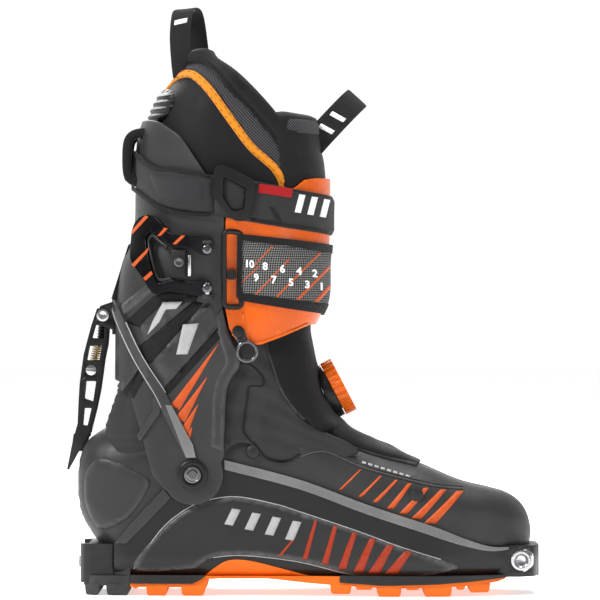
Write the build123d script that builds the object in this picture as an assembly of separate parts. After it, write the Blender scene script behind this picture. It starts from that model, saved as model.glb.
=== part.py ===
from build123d import *
from math import cos, radians, sin, tan
import os

# An alpine touring boot for the right foot, in millimetres. +X is the toe, +Z is up and -Y is the outer (lateral)
# side with the buckle. All shapes are drawn about the foot's centre plane, and save() moves them sideways
# so that the origin lies under the middle of the whole boot, on the surface it stands on.
# Layers from the foot outwards: liner, shell or cuff, frame or braces, straps and hardware.

# ---------------------------------------------------------------- driving dimensions
MID_Y = 4.0             # the foot's centre plane, from the origin
PIVOT = (-70.2, 78.4)   # ankle hinge of the cuff, x and z
SHELL_WALL = 2.8
CUFF_WALL = 2.5
FRAME_WALL = 2.2
SKIN_GAP = 0.05         # between nested layers of one body
LINER_GAP = 3.2         # shell or cuff surface to the liner's outside, in the foot
LINER_WALL = 5.0
SIDE_IN = 40.9          # half the width between the cuff's cheeks, near the hinge
REAR_IN = 74.7          # radius of the cuff's inside at the heel, about the hinge
REAR_OUT = 66.3         # radius within which the heel channel stays, for the walk lever
CHANNEL = 10.0          # half the width of the heel channel
SOLE_TOP = 13.0
RUN = 0.06              # radial clearance of a running fit
BOLT_R = 4.0
BUSH_R = 7.0
TECH_X, TECH_Z, TECH_Y = 141.1, 22.6, 30.4   # toe sockets for the binding pins
TECH_R, TECH_DEEP = 3.1, 4.5
REEL = (23.6, 133.9)    # middle of the lacing dial, x and z
REEL_TILT = 62.4        # the dial's axis, in degrees from +Z towards +X
REEL_R, REEL_H = 18.6, 7.6
BRACKET = (-129.4, 180.5)   # hinge of the walk lever
LEVER_AXIS_X = -60.6    # hinge of the buckle lever
LEVER_Y = -56.5
D_STUD = (-40.9, 170.2)
BAR_R = 1.4             # catch bar at the heel
BAR = (-134.6, 97.7)
LEVER_SCREW = (-137.2, 144.8)
LEVER_PINS = [(-133.4, 162.9), (-144.6, 106)]   # cross pins of the walk lever

# The foot: x, half width outside, half width inside, bottom, top, corner radius.
FOOT = [
    (-136.5, 13, 13, 52, 84, 11),
    (-132, 24, 24, 36, 97, 18),
    (-122, 31, 31, 24, 106, 24),
    (-105, 35.5, 35.5, 17, 112, 28),
    (-70, 38, 38, 16, 113, 28),
    (-35, 38.5, 38.5, 16, 119, 28),
    (-8, 39.3, 39.3, 16, 124.5, 28),
    (20, 42.5, 42, 16, 109, 30),
    (41, 45.5, 46, 16, 98.5, 30),
    (62, 48, 49.5, 16, 88.5, 28),
    (75, 48, 49.5, 16, 84.5, 27),
    (104, 44, 44, 16.5, 72, 24),
    (122, 37, 36, 18, 67.5, 20),
    (135, 28, 27, 20, 63, 17),
    (143, 18.5, 17.5, 24, 57, 12),
    (148, 8, 8, 32, 46, 6),
]
# The leg: height, back, front, half width, corner radius.
LEG = [
    (50, -121.5, 8, 44.2, 30),
    (139, -121.5, 8, 44.8, 32),
    (165, -121.5, 6, 46.5, 38),
    (190, -121, 15.8, 48, 43),
    (215, -117, 17, 49.5, 46),
    (230, -110.6, 18, 50.5, 48),
    (265, -108.3, 18.4, 52, 50),
    (307, -104, 13.5, 52, 50),
    (330, -88.5, 12, 49, 47),
    (352, -73, 6, 43, 38),
]
# The instep inside the gaiter, above the shell: height, back, front, half width, corner radius.
INSTEP = [
    (96, -90, 46, 38, 22),
    (111, -90, 23.5, 38, 25),
    (130, -90, 15, 39, 30),
    (148.5, -90, 8.0, 39.6, 34),
    (172, -90, 3.2, 39.8, 36),
]
ANKLE = [
    (97, -112, 20.5, 33.4, 22),
    (112, -113, 18.5, 33.4, 24),
    (130, -114, 10.5, 35.4, 30),
    (150, -115.5, 3.2, 36.4, 32),
    (173, -115.5, -1.2, 36.6, 34),
]


# ---------------------------------------------------------------- helpers
def rounded(x_dir, z_dir, centre, width, height, radius):
    most = min(width, height) / 2 - 0.2
    plane = Plane(origin=centre, x_dir=x_dir, z_dir=z_dir)
    return plane * RectangleRounded(width, height, max(0.6, min(radius, most)))


def foot_form(grow, floor=None):
    """The foot's outer form, grown outwards. floor lifts its bottom."""
    heel = FOOT[0][0] - grow
    toe = FOOT[-1][0] + grow
    inner = [station for station in FOOT[1:-1] if heel + 2 < station[0] < toe - 2]
    sections = []
    for x, lateral, medial, low, high, radius in [(heel, *FOOT[0][1:])] + inner + [(toe, *FOOT[-1][1:])]:
        low -= grow
        if floor is not None:
            low = max(low, floor)
        height = max(4, high + grow - low)
        width = max(4, lateral + medial + 2 * grow)
        middle = (x, (medial - lateral) / 2, low + height / 2)
        sections.append(rounded((0, 1, 0), (1, 0, 0), middle, width, height, radius + grow))
    return loft(sections, ruled=True)


def upright_form(stations, grow):
    """A form through level sections, as LEG, INSTEP and ANKLE hold them."""
    sections = []
    for z, back, front, half, radius in stations:
        length = front - back + 2 * grow
        middle = ((front + back) / 2, 0, z)
        sections.append(rounded((1, 0, 0), (0, 0, 1), middle, length, 2 * (half + grow), radius + grow))
    return loft(sections, ruled=True)


def side_mask(points, low=-90, high=90):
    """A side outline, as x and z, carried across from y = low to y = high."""
    face = make_face(Polyline(*[(x, low, z) for x, z in points], close=True))
    return extrude(face, amount=high - low, dir=(0, 1, 0))


def block(x, y, z):
    """A box between two corners, each given as a low and a high."""
    size = (x[1] - x[0], y[1] - y[0], z[1] - z[0])
    middle = ((x[0] + x[1]) / 2, (y[0] + y[1]) / 2, (z[0] + z[1]) / 2)
    return Pos(*middle) * Box(*size)


def rod(radius, start, end):
    """A round bar from start to end."""
    a = Vector(*start)
    b = Vector(*end)
    plane = Plane(origin=(a + b) / 2, z_dir=b - a)
    return plane * Cylinder(radius, (b - a).length)


def cross_rod(radius, place, low, high):
    """A round bar along Y at an x and z."""
    return rod(radius, (place[0], low, place[1]), (place[0], high, place[1]))


def both_sides(shape):
    return shape + mirror(shape, about=Plane.XZ)


def band(outer, inner, mask):
    """The layer between two forms, inside a mask."""
    return (outer & mask) - inner


def together(pieces):
    """Separate solids as one group."""
    solids = []
    for piece in pieces:
        solids.extend(piece.solids())
    return Compound(children=solids)


def save(name, shape):
    moved = Pos(0, MID_Y, 0) * shape
    export_step(Compound(children=list(moved.solids())), "parts/" + name + ".step")


# ---------------------------------------------------------------- shared forms
os.makedirs("parts", exist_ok=True)
FOOT_OUT = foot_form(0)
FOOT_IN = foot_form(-SHELL_WALL)
FOOT_SKIN = foot_form(SKIN_GAP)
LEG_OUT = upright_form(LEG, 0)
LEG_IN = upright_form(LEG, -CUFF_WALL)
LEG_SKIN = upright_form(LEG, SKIN_GAP)
ALL = 400
RAIL = [(-50, 87.7), (-1.4, 74.9), (40.8, 59.5), (83.7, 45.4), (104.8, 37.1), (122.7, 31.7), (150, 30.7)]
HEEL_BACK = [
    (-122, 33), (-134.6, 33.9), (-134.6, 39.7), (-138.4, 46.1), (-143.5, 54.4), (-145.6, 62.1), (-146.4, 72.3),
    (-144.2, 83.8), (-142.9, 93.4), (-137.8, 100.5), (-135.8, 103.7), (-129.4, 106.9), (-122, 106),
]
# The cuff seen from the side, from its top edge round the front, the ankle lobe and the back.
CUFF_SIDE = [
    (-104.5, 306.6), (-101, 307), (-93.9, 305.3), (-86.6, 300.8), (-78.2, 294.4), (-68.6, 281), (-61.6, 270.7),
    (-53, 258), (-49.8, 238), (-51.4, 190), (-47.5, 170.9), (-39.8, 150.4), (-46.2, 138.9), (-48.8, 129.3),
    (-49.4, 89.6), (-50.6, 71), (-57, 63.5), (-70.2, 59.4), (-81, 62.4), (-88.5, 67.5), (-96, 76),
    (-102, 99.8), (-111.4, 133), (-119.8, 138.9), (-140, 138.9), (-140, 306.6),
]


# ---------------------------------------------------------------- lower shell and what is fixed to it
def lower_shell():
    ridge = side_mask(HEEL_BACK, CHANNEL, 24)
    outer = FOOT_OUT + both_sides(ridge)
    entry = block((-113, 26), (-35, 35), (95, ALL))
    bolt = cross_rod(BOLT_R + RUN, PIVOT, -60, 60)
    catch = cross_rod(BAR_R + RUN, BAR, -20, 20)
    return outer - FOOT_IN - entry - bolt - catch


def frame_mask():
    return side_mask(
        [(-150, SOLE_TOP), (-150, 33), (-121, 33), (-106.4, 50), (-89, 68.2), (-84, 92), (-70, 98), (-56, 93)]
        + RAIL
        + [(150, SOLE_TOP)]
    )


def sole_plan(grow, low, high):
    """The sole seen from above, between two heights."""
    edge = []
    for x, lateral, medial, *_ in FOOT:
        edge.append((x, lateral, medial))
    outline = [(-141, 20, 20), (-143, 14, 14)][::-1] + edge[1:-1] + [(147, 12, 12)]
    lateral_line = [(x, -lateral - grow) for x, lateral, _ in outline]
    medial_line = [(x, medial + grow) for x, _, medial in outline]
    face = make_face(Polyline(*lateral_line, *medial_line[::-1], close=True))
    return Pos(0, 0, low) * extrude(face, amount=high - low)


def sole_frame():
    sides = foot_form(FRAME_WALL) & frame_mask()
    base = sole_plan(2, SOLE_TOP, 18)
    heel = block((-140.6, -119), (-35, 35), (SOLE_TOP, 33)) & sole_plan(2, SOLE_TOP, 33)
    insert = block((-160, -138), (-22, 22), (0, 30))
    bolt = cross_rod(BOLT_R + RUN, PIVOT, -60, 60)
    toe = block((126, 200), (-60, 60), (0, 33))
    ridge = side_mask(HEEL_BACK, CHANNEL, 24)
    return (sides + base + heel) - FOOT_SKIN - both_sides(ridge) - bolt - toe - insert


def toe_ledge():
    """The toe block that the binding holds. The steel crossbar runs through it."""
    nose = [(126, -33), (140, -33), (149, -27), (153.4, -16), (153.4, 16), (149, 27), (140, 33), (126, 33)]
    face = make_face(Polyline(*nose, close=True))
    form = Pos(0, 0, 12) * extrude(face, amount=20)
    bar = block((TECH_X - 4, TECH_X + 4), (-40, 40), (TECH_Z - 4, TECH_Z + 4))
    ends = both_sides(cross_rod(6.6, (TECH_X, TECH_Z), 27, 40))
    return form - FOOT_SKIN - bar - ends


def toe_insert():
    """One steel crossbar with a socket for a binding pin in each end."""
    bar = block((TECH_X - 3.9, TECH_X + 3.9), (-27.1, 27.1), (TECH_Z - 3.9, TECH_Z + 3.9))
    end = cross_rod(6.5, (TECH_X, TECH_Z), 27.05, TECH_Y + 3.2)
    whole = bar + both_sides(end)
    socket = cross_rod(TECH_R, (TECH_X, TECH_Z), TECH_Y + 1.6 - TECH_DEEP, 50)
    lead = Plane(origin=(TECH_X, TECH_Y + 2.5, TECH_Z), z_dir=(0, 1, 0)) * Cone(TECH_R, TECH_R + 1.8, 1.9)
    return whole - FOOT_SKIN - both_sides(socket) - both_sides(lead)


def heel_insert():
    plate = block((-143.4, -138.1), (-21.9, 21.9), (SOLE_TOP + 0.1, 28.6)) - FOOT_SKIN
    slot = block((-160, -139.4), (11, 16), (6, 24.5))
    screw = rod(2.3, (-150, 0, 20), (-130, 0, 20))
    return plate - both_sides(slot) - screw


def heel_insert_screw():
    head = rod(3.6, (-145.3, 0, 20), (-143.45, 0, 20))
    shank = rod(2.25, (-143.5, 0, 20), (-138.15, 0, 20))
    socket = rod(1.4, (-146, 0, 20), (-144.3, 0, 20))
    return head + shank - socket


def lug_row(spans, foot_z, high):
    """Blocks of tread, each from a low to a high x."""
    return [block(span, (-80, 80), (foot_z, high)) for span in spans]


def outsole_forefoot():
    top = [(-45, SOLE_TOP - 0.02), (140, SOLE_TOP - 0.02), (128, 6.5), (90, 6), (30, 7), (0, 8.6), (-27, 11.5)]
    pad = side_mask(top)
    for lug in lug_row([(17.8, 31.8), (47.8, 63.8), (77.6, 96.2), (106.7, 120)], 0, 8):
        pad += lug
    groove = block((10, 122), (-7, 7), (-1, 5.6))
    body = pad & sole_plan(1, -1, SOLE_TOP - 0.02)
    return body - groove - block((125.9, 200), (-60, 60), (-9, 40))


def outsole_heel():
    under = [(-110.6, SOLE_TOP - 0.02), (-110.6, 7), (-62, 7), (-52, 10.5), (-45.2, 12), (-45.2, SOLE_TOP - 0.02)]
    pad = side_mask(under)
    for lug in lug_row([(-100.6, -86.5), (-78, -62.4)], 0, 8):
        pad += lug
    return (pad & sole_plan(1, -1, SOLE_TOP - 0.02)) - block((-110, -60), (-6, 6), (-1, 5.6))


def heel_lug_pad():
    pad = block((-142, -110.8), (-80, 80), (6.6, SOLE_TOP - 0.02))
    for lug in lug_row([(-142, -130.5), (-126, -110.8)], 0, 7.5):
        pad += lug
    return (pad & sole_plan(1, -1, SOLE_TOP)) - block((-160, -138), (-22, 22), (9, 40))


def boot_board():
    slab = foot_form(-LINER_GAP, 19.1) & block((-140, 145), (-60, 60), (19.1, 24))
    rows = [block((x, x + 12), (-14, 14), (21.6, 30)) for x in range(-100, 90, 20)]
    for row in rows:
        slab -= row
    return slab


def footbed():
    return foot_form(-LINER_GAP - LINER_WALL - 0.4, 29.6) & block((-140, 145), (-60, 60), (29.6, 33))


def liner_foot():
    outer = foot_form(-LINER_GAP, 24.3)
    hollow = foot_form(-LINER_GAP - LINER_WALL, 29.4)
    entry = block((-107, 15.5), (-28.4, 28.4), (80, ALL))
    over = block((-150, 21.5), (-80, 80), (96.6, ALL))
    nuts = both_sides(cross_rod(9, PIVOT, 31.8, 60))
    return outer - hollow - entry - over - nuts


def liner_ankle():
    """The part of the liner that bends at the ankle."""
    outer = upright_form(ANKLE, 0)
    hollow = upright_form(ANKLE, -LINER_WALL)
    ends = block((-200, 100), (-80, 80), (97.01, 172.9))
    return (outer & ends) - hollow


def gaiter():
    """The softshell that seals the instep, from the toe box to inside the tongue."""
    sleeve = upright_form(INSTEP, 0) - upright_form(INSTEP, -2)
    front = block((-36, 80), (-80, 80), (126, 172))
    low = foot_form(2.6) - foot_form(0.6)
    patch = side_mask([(-8, 127), (74, 90), (74, 84), (40, 86), (8, 99), (-8, 118)])
    lace_room = block((18, 72), (-17, 17), (80, 130)) & foot_form(2.7)
    top = foot_form(4.6) - foot_form(2.75)
    cover = block((20, 73.5), (-17, 17), (84, 130))
    bend = upright_form(ANKLE, 0.5)
    return together([sleeve & front, (low & patch) - lace_room - bend, (top & cover) - bend])


def achilles_cover():
    """The soft insert behind the tendon, between shell and cuff."""
    ring = cross_rod(73.4, PIVOT, -24, 24) - cross_rod(REAR_OUT - 3, PIVOT, -30, 30)
    wedge = side_mask([PIVOT, (-190, 147), (-190, 230), (-125, 230)])
    groove = cross_rod(90, PIVOT, -CHANNEL, CHANNEL) - cross_rod(REAR_OUT, PIVOT, -CHANNEL, CHANNEL)
    ridge = both_sides(side_mask(HEEL_BACK, CHANNEL - 0.1, 24.1))
    return (ring & wedge) - groove - FOOT_SKIN - ridge - upright_form(ANKLE, 0.4)


def catch_bar():
    return cross_rod(BAR_R, BAR, -18, 18)


def pivot_hardware():
    """Bushing, washer, bolt and nut of one ankle hinge, on the +Y side."""
    bushing = cross_rod(BUSH_R, PIVOT, 40.35, 45.1) - cross_rod(BOLT_R + RUN, PIVOT, 30, 60)
    washer = cross_rod(9.6, PIVOT, 45.15, 47.0) - cross_rod(BOLT_R + RUN, PIVOT, 30, 60)
    shank = cross_rod(BOLT_R, PIVOT, 32.4, 47.05)
    head = cross_rod(5.4, PIVOT, 47.05, 48.9) - cross_rod(2.2, PIVOT, 47.9, 50)
    nut = cross_rod(6.5, PIVOT, 32.4, 34.2) - cross_rod(BOLT_R + RUN, PIVOT, 30, 60)
    return {"pivot_bushings": bushing, "pivot_washers": washer, "pivot_bolts": shank + head, "pivot_nuts": nut}


def shell_rivets():
    toe_out = cross_rod(4.4, (73.2, 65.7), -48.2, -44) - FOOT_SKIN
    toe_in = cross_rod(4.4, (73.2, 65.7), 44, 49.7) - FOOT_SKIN
    ankle = cross_rod(4.4, (-31.8, 92.8), -40, -37) - FOOT_SKIN
    return together([toe_out, toe_in, ankle])


def reel_place(along):
    """A point on the dial's axis."""
    x = REEL[0] + along * sin(radians(REEL_TILT))
    z = REEL[1] + along * cos(radians(REEL_TILT))
    return (x, 0, z)


def reel_rod(radius, low, high):
    return rod(radius, reel_place(low), reel_place(high))


def reel_base():
    cup = reel_rod(REEL_R - 0.6, -14, -REEL_H / 2 - 0.5) - reel_rod(4.28, -6.2, 3)
    gear = reel_rod(REEL_R - 5, -REEL_H / 2 - 0.6, -1.8) - reel_rod(4.28, -9, 3)
    return (cup + gear) - foot_form(4.9) - upright_form(INSTEP, 0.3)


def reel_spindle():
    """The ratchet core that rises when the dial is pulled."""
    return reel_rod(4.2, -5.4, 2.2) + reel_rod(5.8, 2.2, 3.8)


def reel_dial():
    knob = reel_rod(REEL_R, -REEL_H / 2, REEL_H / 2)
    knob -= reel_rod(REEL_R - 3.2, -REEL_H / 2 - 1, -1.2)
    knob -= reel_rod(6.1, 2.1, 9) + reel_rod(4.28, -9, 9)
    notches = []
    centre = Plane(origin=reel_place(0), z_dir=(sin(radians(REEL_TILT)), 0, cos(radians(REEL_TILT))))
    for i in range(24):
        notches.append(centre * Rot(0, 0, 15 * i) * Pos(REEL_R + 0.5, 0, 0) * Cylinder(1.3, 20))
    return knob - notches


LACE_R = 0.6


def lace_route():
    """The lace leaves the reel, runs down the instep, round the far guide and back up."""
    half = [(24.5, 8.5), (41, 9), (58, 12.5)]
    lift = 1.15
    points = [(x, -y) for x, y in half] + [(67, 0)] + [(x, y) for x, y in half[::-1]]
    return [(x, y, instep_top(x) + lift) for x, y in points]


def instep_top(x):
    for before, after in zip(FOOT, FOOT[1:]):
        if before[0] <= x <= after[0]:
            share = (x - before[0]) / (after[0] - before[0])
            return before[4] + share * (after[4] - before[4])
    return 0


def corner_radii(points):
    """The largest tangent arcs that the runs leave room for: 0.45 of the shorter run."""
    radii = []
    for a, b, c in zip(points, points[1:], points[2:]):
        first = Vector(*b) - Vector(*a)
        second = Vector(*c) - Vector(*b)
        turn = first.get_angle(second)
        radii.append(0.45 * min(first.length, second.length) / tan(radians(turn) / 2))
    return radii


def reel_lace():
    points = lace_route()
    radii = corner_radii(points)
    path = FilletPolyline(*points, radius=radii)
    start = Plane(origin=path @ 0, z_dir=path % 0)
    lace = sweep(start * Circle(LACE_R), path=path)
    print("lace arcs", [round(r, 1) for r in radii], "length", round(path.length, 1))
    print("lace volume", round(lace.volume, 2), "of", round(path.length * Circle(LACE_R).area, 2))
    return lace


def lace_guides():
    """Low blocks on the instep that the lace slides through."""
    guides = []
    for x, y in ((49, 10.8), (49, -10.8)):
        z = instep_top(x) + 1.15
        guides.append(block((x - 3, x + 3), (y - 2.2, y + 2.2), (z - 3, z + 1.0)) - FOOT_SKIN)
    z = instep_top(68) + 1.15
    guides.append(block((66.2, 70.5), (-6, 6), (z - 3, z + 1.3)) - FOOT_SKIN)
    route = FilletPolyline(*lace_route(), radius=corner_radii(lace_route()))
    start = Plane(origin=route @ 0, z_dir=route % 0)
    tunnel = sweep(start * Circle(LACE_R + 0.12), path=route)
    return together([(guide & foot_form(2.7)) - tunnel for guide in guides])


# ---------------------------------------------------------------- cuff and what is fixed to it
def cuff_shell():
    wall = (LEG_OUT & side_mask(CUFF_SIDE)) - LEG_IN
    barrel = cross_rod(REAR_IN, PIVOT, -SIDE_IN, SIDE_IN)
    bush = cross_rod(BUSH_R + RUN, PIVOT, -70, 70)
    sink = both_sides(cross_rod(10, PIVOT, 45.1, 60))
    return wall - barrel - bush - sink


def brace_mask():
    """The long diagonal rib with its upper wing and its two lower legs, from the side."""
    rib = [
        (-122, 192), (-114, 190.5), (-104, 170), (-96, 148), (-86, 129), (-74, 104), (-68, 90), (-74.5, 88.5),
        (-82, 104), (-88, 118), (-93, 128), (-107, 155), (-119, 182), (-122, 184),
    ]
    wing = [(-115, 176), (-86.5, 194), (-66.7, 191.4), (-51.8, 172), (-89, 129), (-94, 133), (-104.5, 153)]
    legs = [(-93, 132), (-100, 113), (-104, 100.5), (-98, 97), (-86, 118), (-84, 124)]
    spur = [(-119, 128.5), (-106, 151), (-97, 152), (-113, 129.5)]
    return [rib, wing, legs, spur]


def cuff_brace(side):
    """The outer skeleton on one side of the cuff: -1 is the buckle side."""
    mask = None
    for outline in brace_mask():
        piece = side_mask(outline, *((-90, -20) if side < 0 else (20, 90)))
        mask = piece if mask is None else mask + piece
    layer = upright_form(LEG, 2.4) & mask & side_mask(CUFF_SIDE)
    sink = cross_rod(10.2, PIVOT, -90, 90)
    return layer - LEG_SKIN - sink


def tongue_flap():
    outline = [
        (-46.5, 262), (-49, 240), (-50.3, 190), (-46.6, 171.8), (-42, 163.8), (-27, 161.5), (4.2, 174.4), (30, 174),
        (30, 269), (3, 267.5), (-3.4, 262.4),
    ]
    return band(LEG_OUT, LEG_IN, side_mask(outline))


def liner_shaft():
    outer = upright_form(LEG, -5.2)
    hollow = upright_form(LEG, -5.2 - LINER_WALL)
    top = [(-140, 174), (-140, 329), (-88.5, 329.6), (-77, 343), (-71.8, 351), (-55.8, 345.6), (-39.8, 334)]
    side = side_mask(top + [(-17.4, 310.4), (5, 272), (30, 262), (30, 174)])
    front = block((-12, 60), (-27, 27), (200, ALL))
    return (outer & side) - hollow - front


def liner_tongue():
    outer = upright_form(LEG, -5.2)
    hollow = upright_form(LEG, -5.2 - LINER_WALL)
    side = side_mask([(-11.7, 200.3), (-11.7, 309), (-10, 311), (13, 307.6), (40, 306), (40, 200.3)], -26.7, 26.7)
    return (outer & side) - hollow


def liner_flex_piece():
    """The ribbed rubber piece at the back of the collar, above the cuff."""
    mask = side_mask([(-120, 308), (-120, 327), (-80, 327), (-72, 308)], -22, 22)
    return band(upright_form(LEG, -0.6), upright_form(LEG, -5.1), mask)


def flat_loop(base, top, width, thick, lean):
    """A webbing loop that stands up between two points, seen from the side as a narrow strap."""
    a = Vector(base[0], 0, base[1])
    b = Vector(top[0], 0, top[1])
    plane = Plane(origin=(a + b) / 2, x_dir=(0, 1, 0), z_dir=(b - a).cross(Vector(0, 1, 0)))
    length = (b - a).length
    outer = plane * extrude(RectangleRounded(width, length, width * 0.3), amount=lean, both=True)
    inner = plane * extrude(RectangleRounded(width - 2 * thick, length - 2 * thick, width * 0.2), lean * 2, both=True)
    return outer - inner


def rear_pull_loop():
    near = flat_loop((-84, 334), (-76, 379.5), 22, 2.2, 6)
    return near - upright_form(LEG, -5.1)


def tongue_pull_loop():
    return flat_loop((11.5, 300), (33.5, 321), 20, 2.2, 5.5) - upright_form(LEG, -5.1)


STRAP_TOP = [(-112.2, 291.8), (-106.1, 285.8), (-100.6, 280.3), (-91.4, 275.2), (-81.4, 274.6), (-56.2, 269.6)]
STRAP_LOW = [(-56.2, 244.6), (-75.7, 246.4), (-93.6, 252.8), (-106.1, 262.4), (-112.2, 266.2)]


def cuff_band():
    """The strap's anchor that wraps the back of the cuff."""
    outline = [(-140, 299), (-116, 299)] + STRAP_TOP + STRAP_LOW + [(-116, 266.2), (-140, 266.2)]
    outer = upright_form(LEG, 2.6)
    return band(outer, LEG_SKIN, side_mask(outline))


def rear_strap_loop():
    hoop = upright_form(LEG, 8.6) - upright_form(LEG, 6.4)
    mask = block((-140, -98), (-22, 22), (267, 299))
    foot = block((-140, -98), (19.4, 22), (267, 299)) & (upright_form(LEG, 8.6) - upright_form(LEG, 2.7))
    return (hoop & mask) + both_sides(foot)


def strap_window():
    """The plastic frame that the power strap runs through, on the buckle side."""
    outline = [(-56.1, 270), (-50.3, 271.3), (-30.2, 266.2), (-34.7, 241.4), (-43.7, 241.9), (-56.1, 256)]
    window = [(-50.3, 267), (-36, 260.5), (-36.6, 247), (-44.3, 244.6), (-50.3, 253.5)]
    frame = band(upright_form(LEG, 5.4), upright_form(LEG, 2.7), side_mask(outline, -90, 0))
    return frame - side_mask(window, -90, 0)


def power_strap():
    outline = [(-56.1, 269.4), (-30.2, 266.2), (22.2, 257.3), (40, 254), (40, 229), (19.7, 232.3), (-43.7, 241.9),
               (-56.1, 244.7)]
    return band(upright_form(LEG, 2.6), upright_form(LEG, 0.9), side_mask(outline))


def closure_strap():
    """The numbered strap over the tongue. Its outer end folds round the buckle's ring."""
    outline = [(-42.5, 231.5), (18, 224), (40, 221), (40, 179.5), (16, 182), (-42.5, 190.5)]
    return band(upright_form(LEG, 1.9), upright_form(LEG, 0.3), side_mask(outline))


def strap_rivets():
    rivets = []
    for x, z in ((-36, 246), (-36, 258), (-38, 196), (-38, 222)):
        pin = cross_rod(3.2, (x, z), 45, 56.5) & upright_form(LEG, 4.4)
        rivets.append(pin - upright_form(LEG, 2.7))
    return together(rivets)


def buckle_base():
    """The plate on the cuff with the two ears that hold the lever."""
    seat = side_mask([(-84, 222.5), (-74.6, 222.5), (-74.6, 204.5), (-84, 204.5)], -90, 0)
    plate = band(upright_form(LEG, 5.2), LEG_SKIN, seat) - cross_rod(1.7, (-78.6, 214.7), -90, -30)
    ears = []
    for low, high in ((226.2, 229.4), (190.6, 193.8)):
        ear = block((LEVER_AXIS_X - 3.2, LEVER_AXIS_X + 3.2), (LEVER_Y - 2.6, -47), (low, high))
        ears.append((ear - LEG_SKIN) - rod(1.65, (LEVER_AXIS_X, LEVER_Y, 150), (LEVER_AXIS_X, LEVER_Y, 260)))
    return together([plate] + ears)


def buckle_screw():
    place = (-78.6, 214.7)
    shank = cross_rod(1.65, place, -55, -49.4)
    head = (cross_rod(3.2, place, -56.6, -52) - upright_form(LEG, 5.25)) - cross_rod(1.3, place, -60, -55.8)
    return head + shank


def lever_pins():
    """Two hinge pins, each from an ear into one arm of the lever."""
    upper = rod(1.6, (LEVER_AXIS_X, LEVER_Y, 219.4), (LEVER_AXIS_X, LEVER_Y, 229.3))
    lower = rod(1.6, (LEVER_AXIS_X, LEVER_Y, 190.7), (LEVER_AXIS_X, LEVER_Y, 201.3))
    return together([upper, lower])


def buckle_lever():
    """The fork that closes the buckle: a thumb plate behind and two arms to the hinge."""
    fork = [
        (-105, 243.4), (-98, 244.5), (-83.4, 233.3), (-71.8, 232), (-61.2, 230.8), (-58, 226), (-57, 219.2),
        (-65, 219.2), (-69.2, 222.9), (-81.4, 225.3), (-89, 222), (-92.5, 210), (-85, 200.4), (-73.4, 200.9),
        (-65, 201.6), (-57.6, 201.6), (-57.6, 193.9), (-62.9, 193), (-73.4, 190.6), (-84, 193.8), (-93, 193.9),
        (-102.8, 206.7), (-107.4, 216.2), (-110.5, 220),
    ]
    cuts = block((-65.8, -50), (-70, -40), (225.9, 233)) + block((-65.8, -50), (-70, -40), (185, 194.1))
    plate = band(upright_form(LEG, 8.6), upright_form(LEG, 5.6), side_mask(fork, -90, 0))
    knuckle = rod(3.3, (LEVER_AXIS_X, LEVER_Y, 219.5), (LEVER_AXIS_X, LEVER_Y, 225.8))
    knuckle += rod(3.3, (LEVER_AXIS_X, LEVER_Y, 194.2), (LEVER_AXIS_X, LEVER_Y, 201.4))
    plate = (plate - block((-62.5, -50), (-70, -40), (180, 240))) - cuts
    web = block((-66, -60.6), (-58.6, -54.6), (219.5, 225.8)) + block((-66, -60.6), (-58.6, -54.6), (194.2, 201.4))
    pins = rod(1.6 + RUN, (LEVER_AXIS_X, LEVER_Y, 150), (LEVER_AXIS_X, LEVER_Y, 260))
    return plate + knuckle + web - pins


def buckle_ring():
    """The rectangular ring that holds the closure strap's end, with the link plate to the lever."""
    outer = block((-51.4, -36), (-57.2, -53.6), (184.4, 235.6))
    hole = block((-48.2, -39.2), (-70, -40), (187.6, 232.4))
    link = block((-74, -50), (-57.4, -54.8), (206, 218.6))
    window = block((-68.4, -62.8), (-70, -40), (208.2, 216.4)) + block((-76, -69.9), (-70, -40), (208.2, 216.4))
    return (outer - hole) + (link - window - ring_rod())


def ring_rod():
    """The steel rod of the link, where the lever pulls on it."""
    return rod(1.2, (-71.9, -56.1, 205.6), (-71.9, -56.1, 218.9))


def rear_bracket():
    """Two ears on the back of the cuff that hold the walk lever."""
    ears = side_mask([(-121, 190), (-131, 186.5), (-134.4, 180), (-131, 174.5), (-121, 170)], 8.2, 11.4)
    foot = block((-123.4, -118), (-11.4, 11.4), (168, 192))
    bolt = cross_rod(2.5 + RUN, BRACKET, -30, 30)
    rails = both_sides(side_mask([(-113, 226), (-108, 229), (-119, 193), (-124, 191)], 8.2, 11.4))
    return (both_sides(ears) + foot + rails) - upright_form(LEG, 0.06) - bolt


def bracket_bolt():
    shank = cross_rod(2.5, BRACKET, -11.5, 11.5)
    heads = both_sides(cross_rod(4, BRACKET, 11.5, 13.4))
    return shank + heads - cross_rod(1.6, BRACKET, -20, -12.6)


def d_ring_stud():
    """The stud and its small tab on the lower edge of the tongue."""
    x, z = D_STUD
    post = cross_rod(1.5, (x, z), -52.2, -44)
    head = cross_rod(3.8, (x, z), -54.2, -52.2)
    return (post + head) - LEG_SKIN


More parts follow.
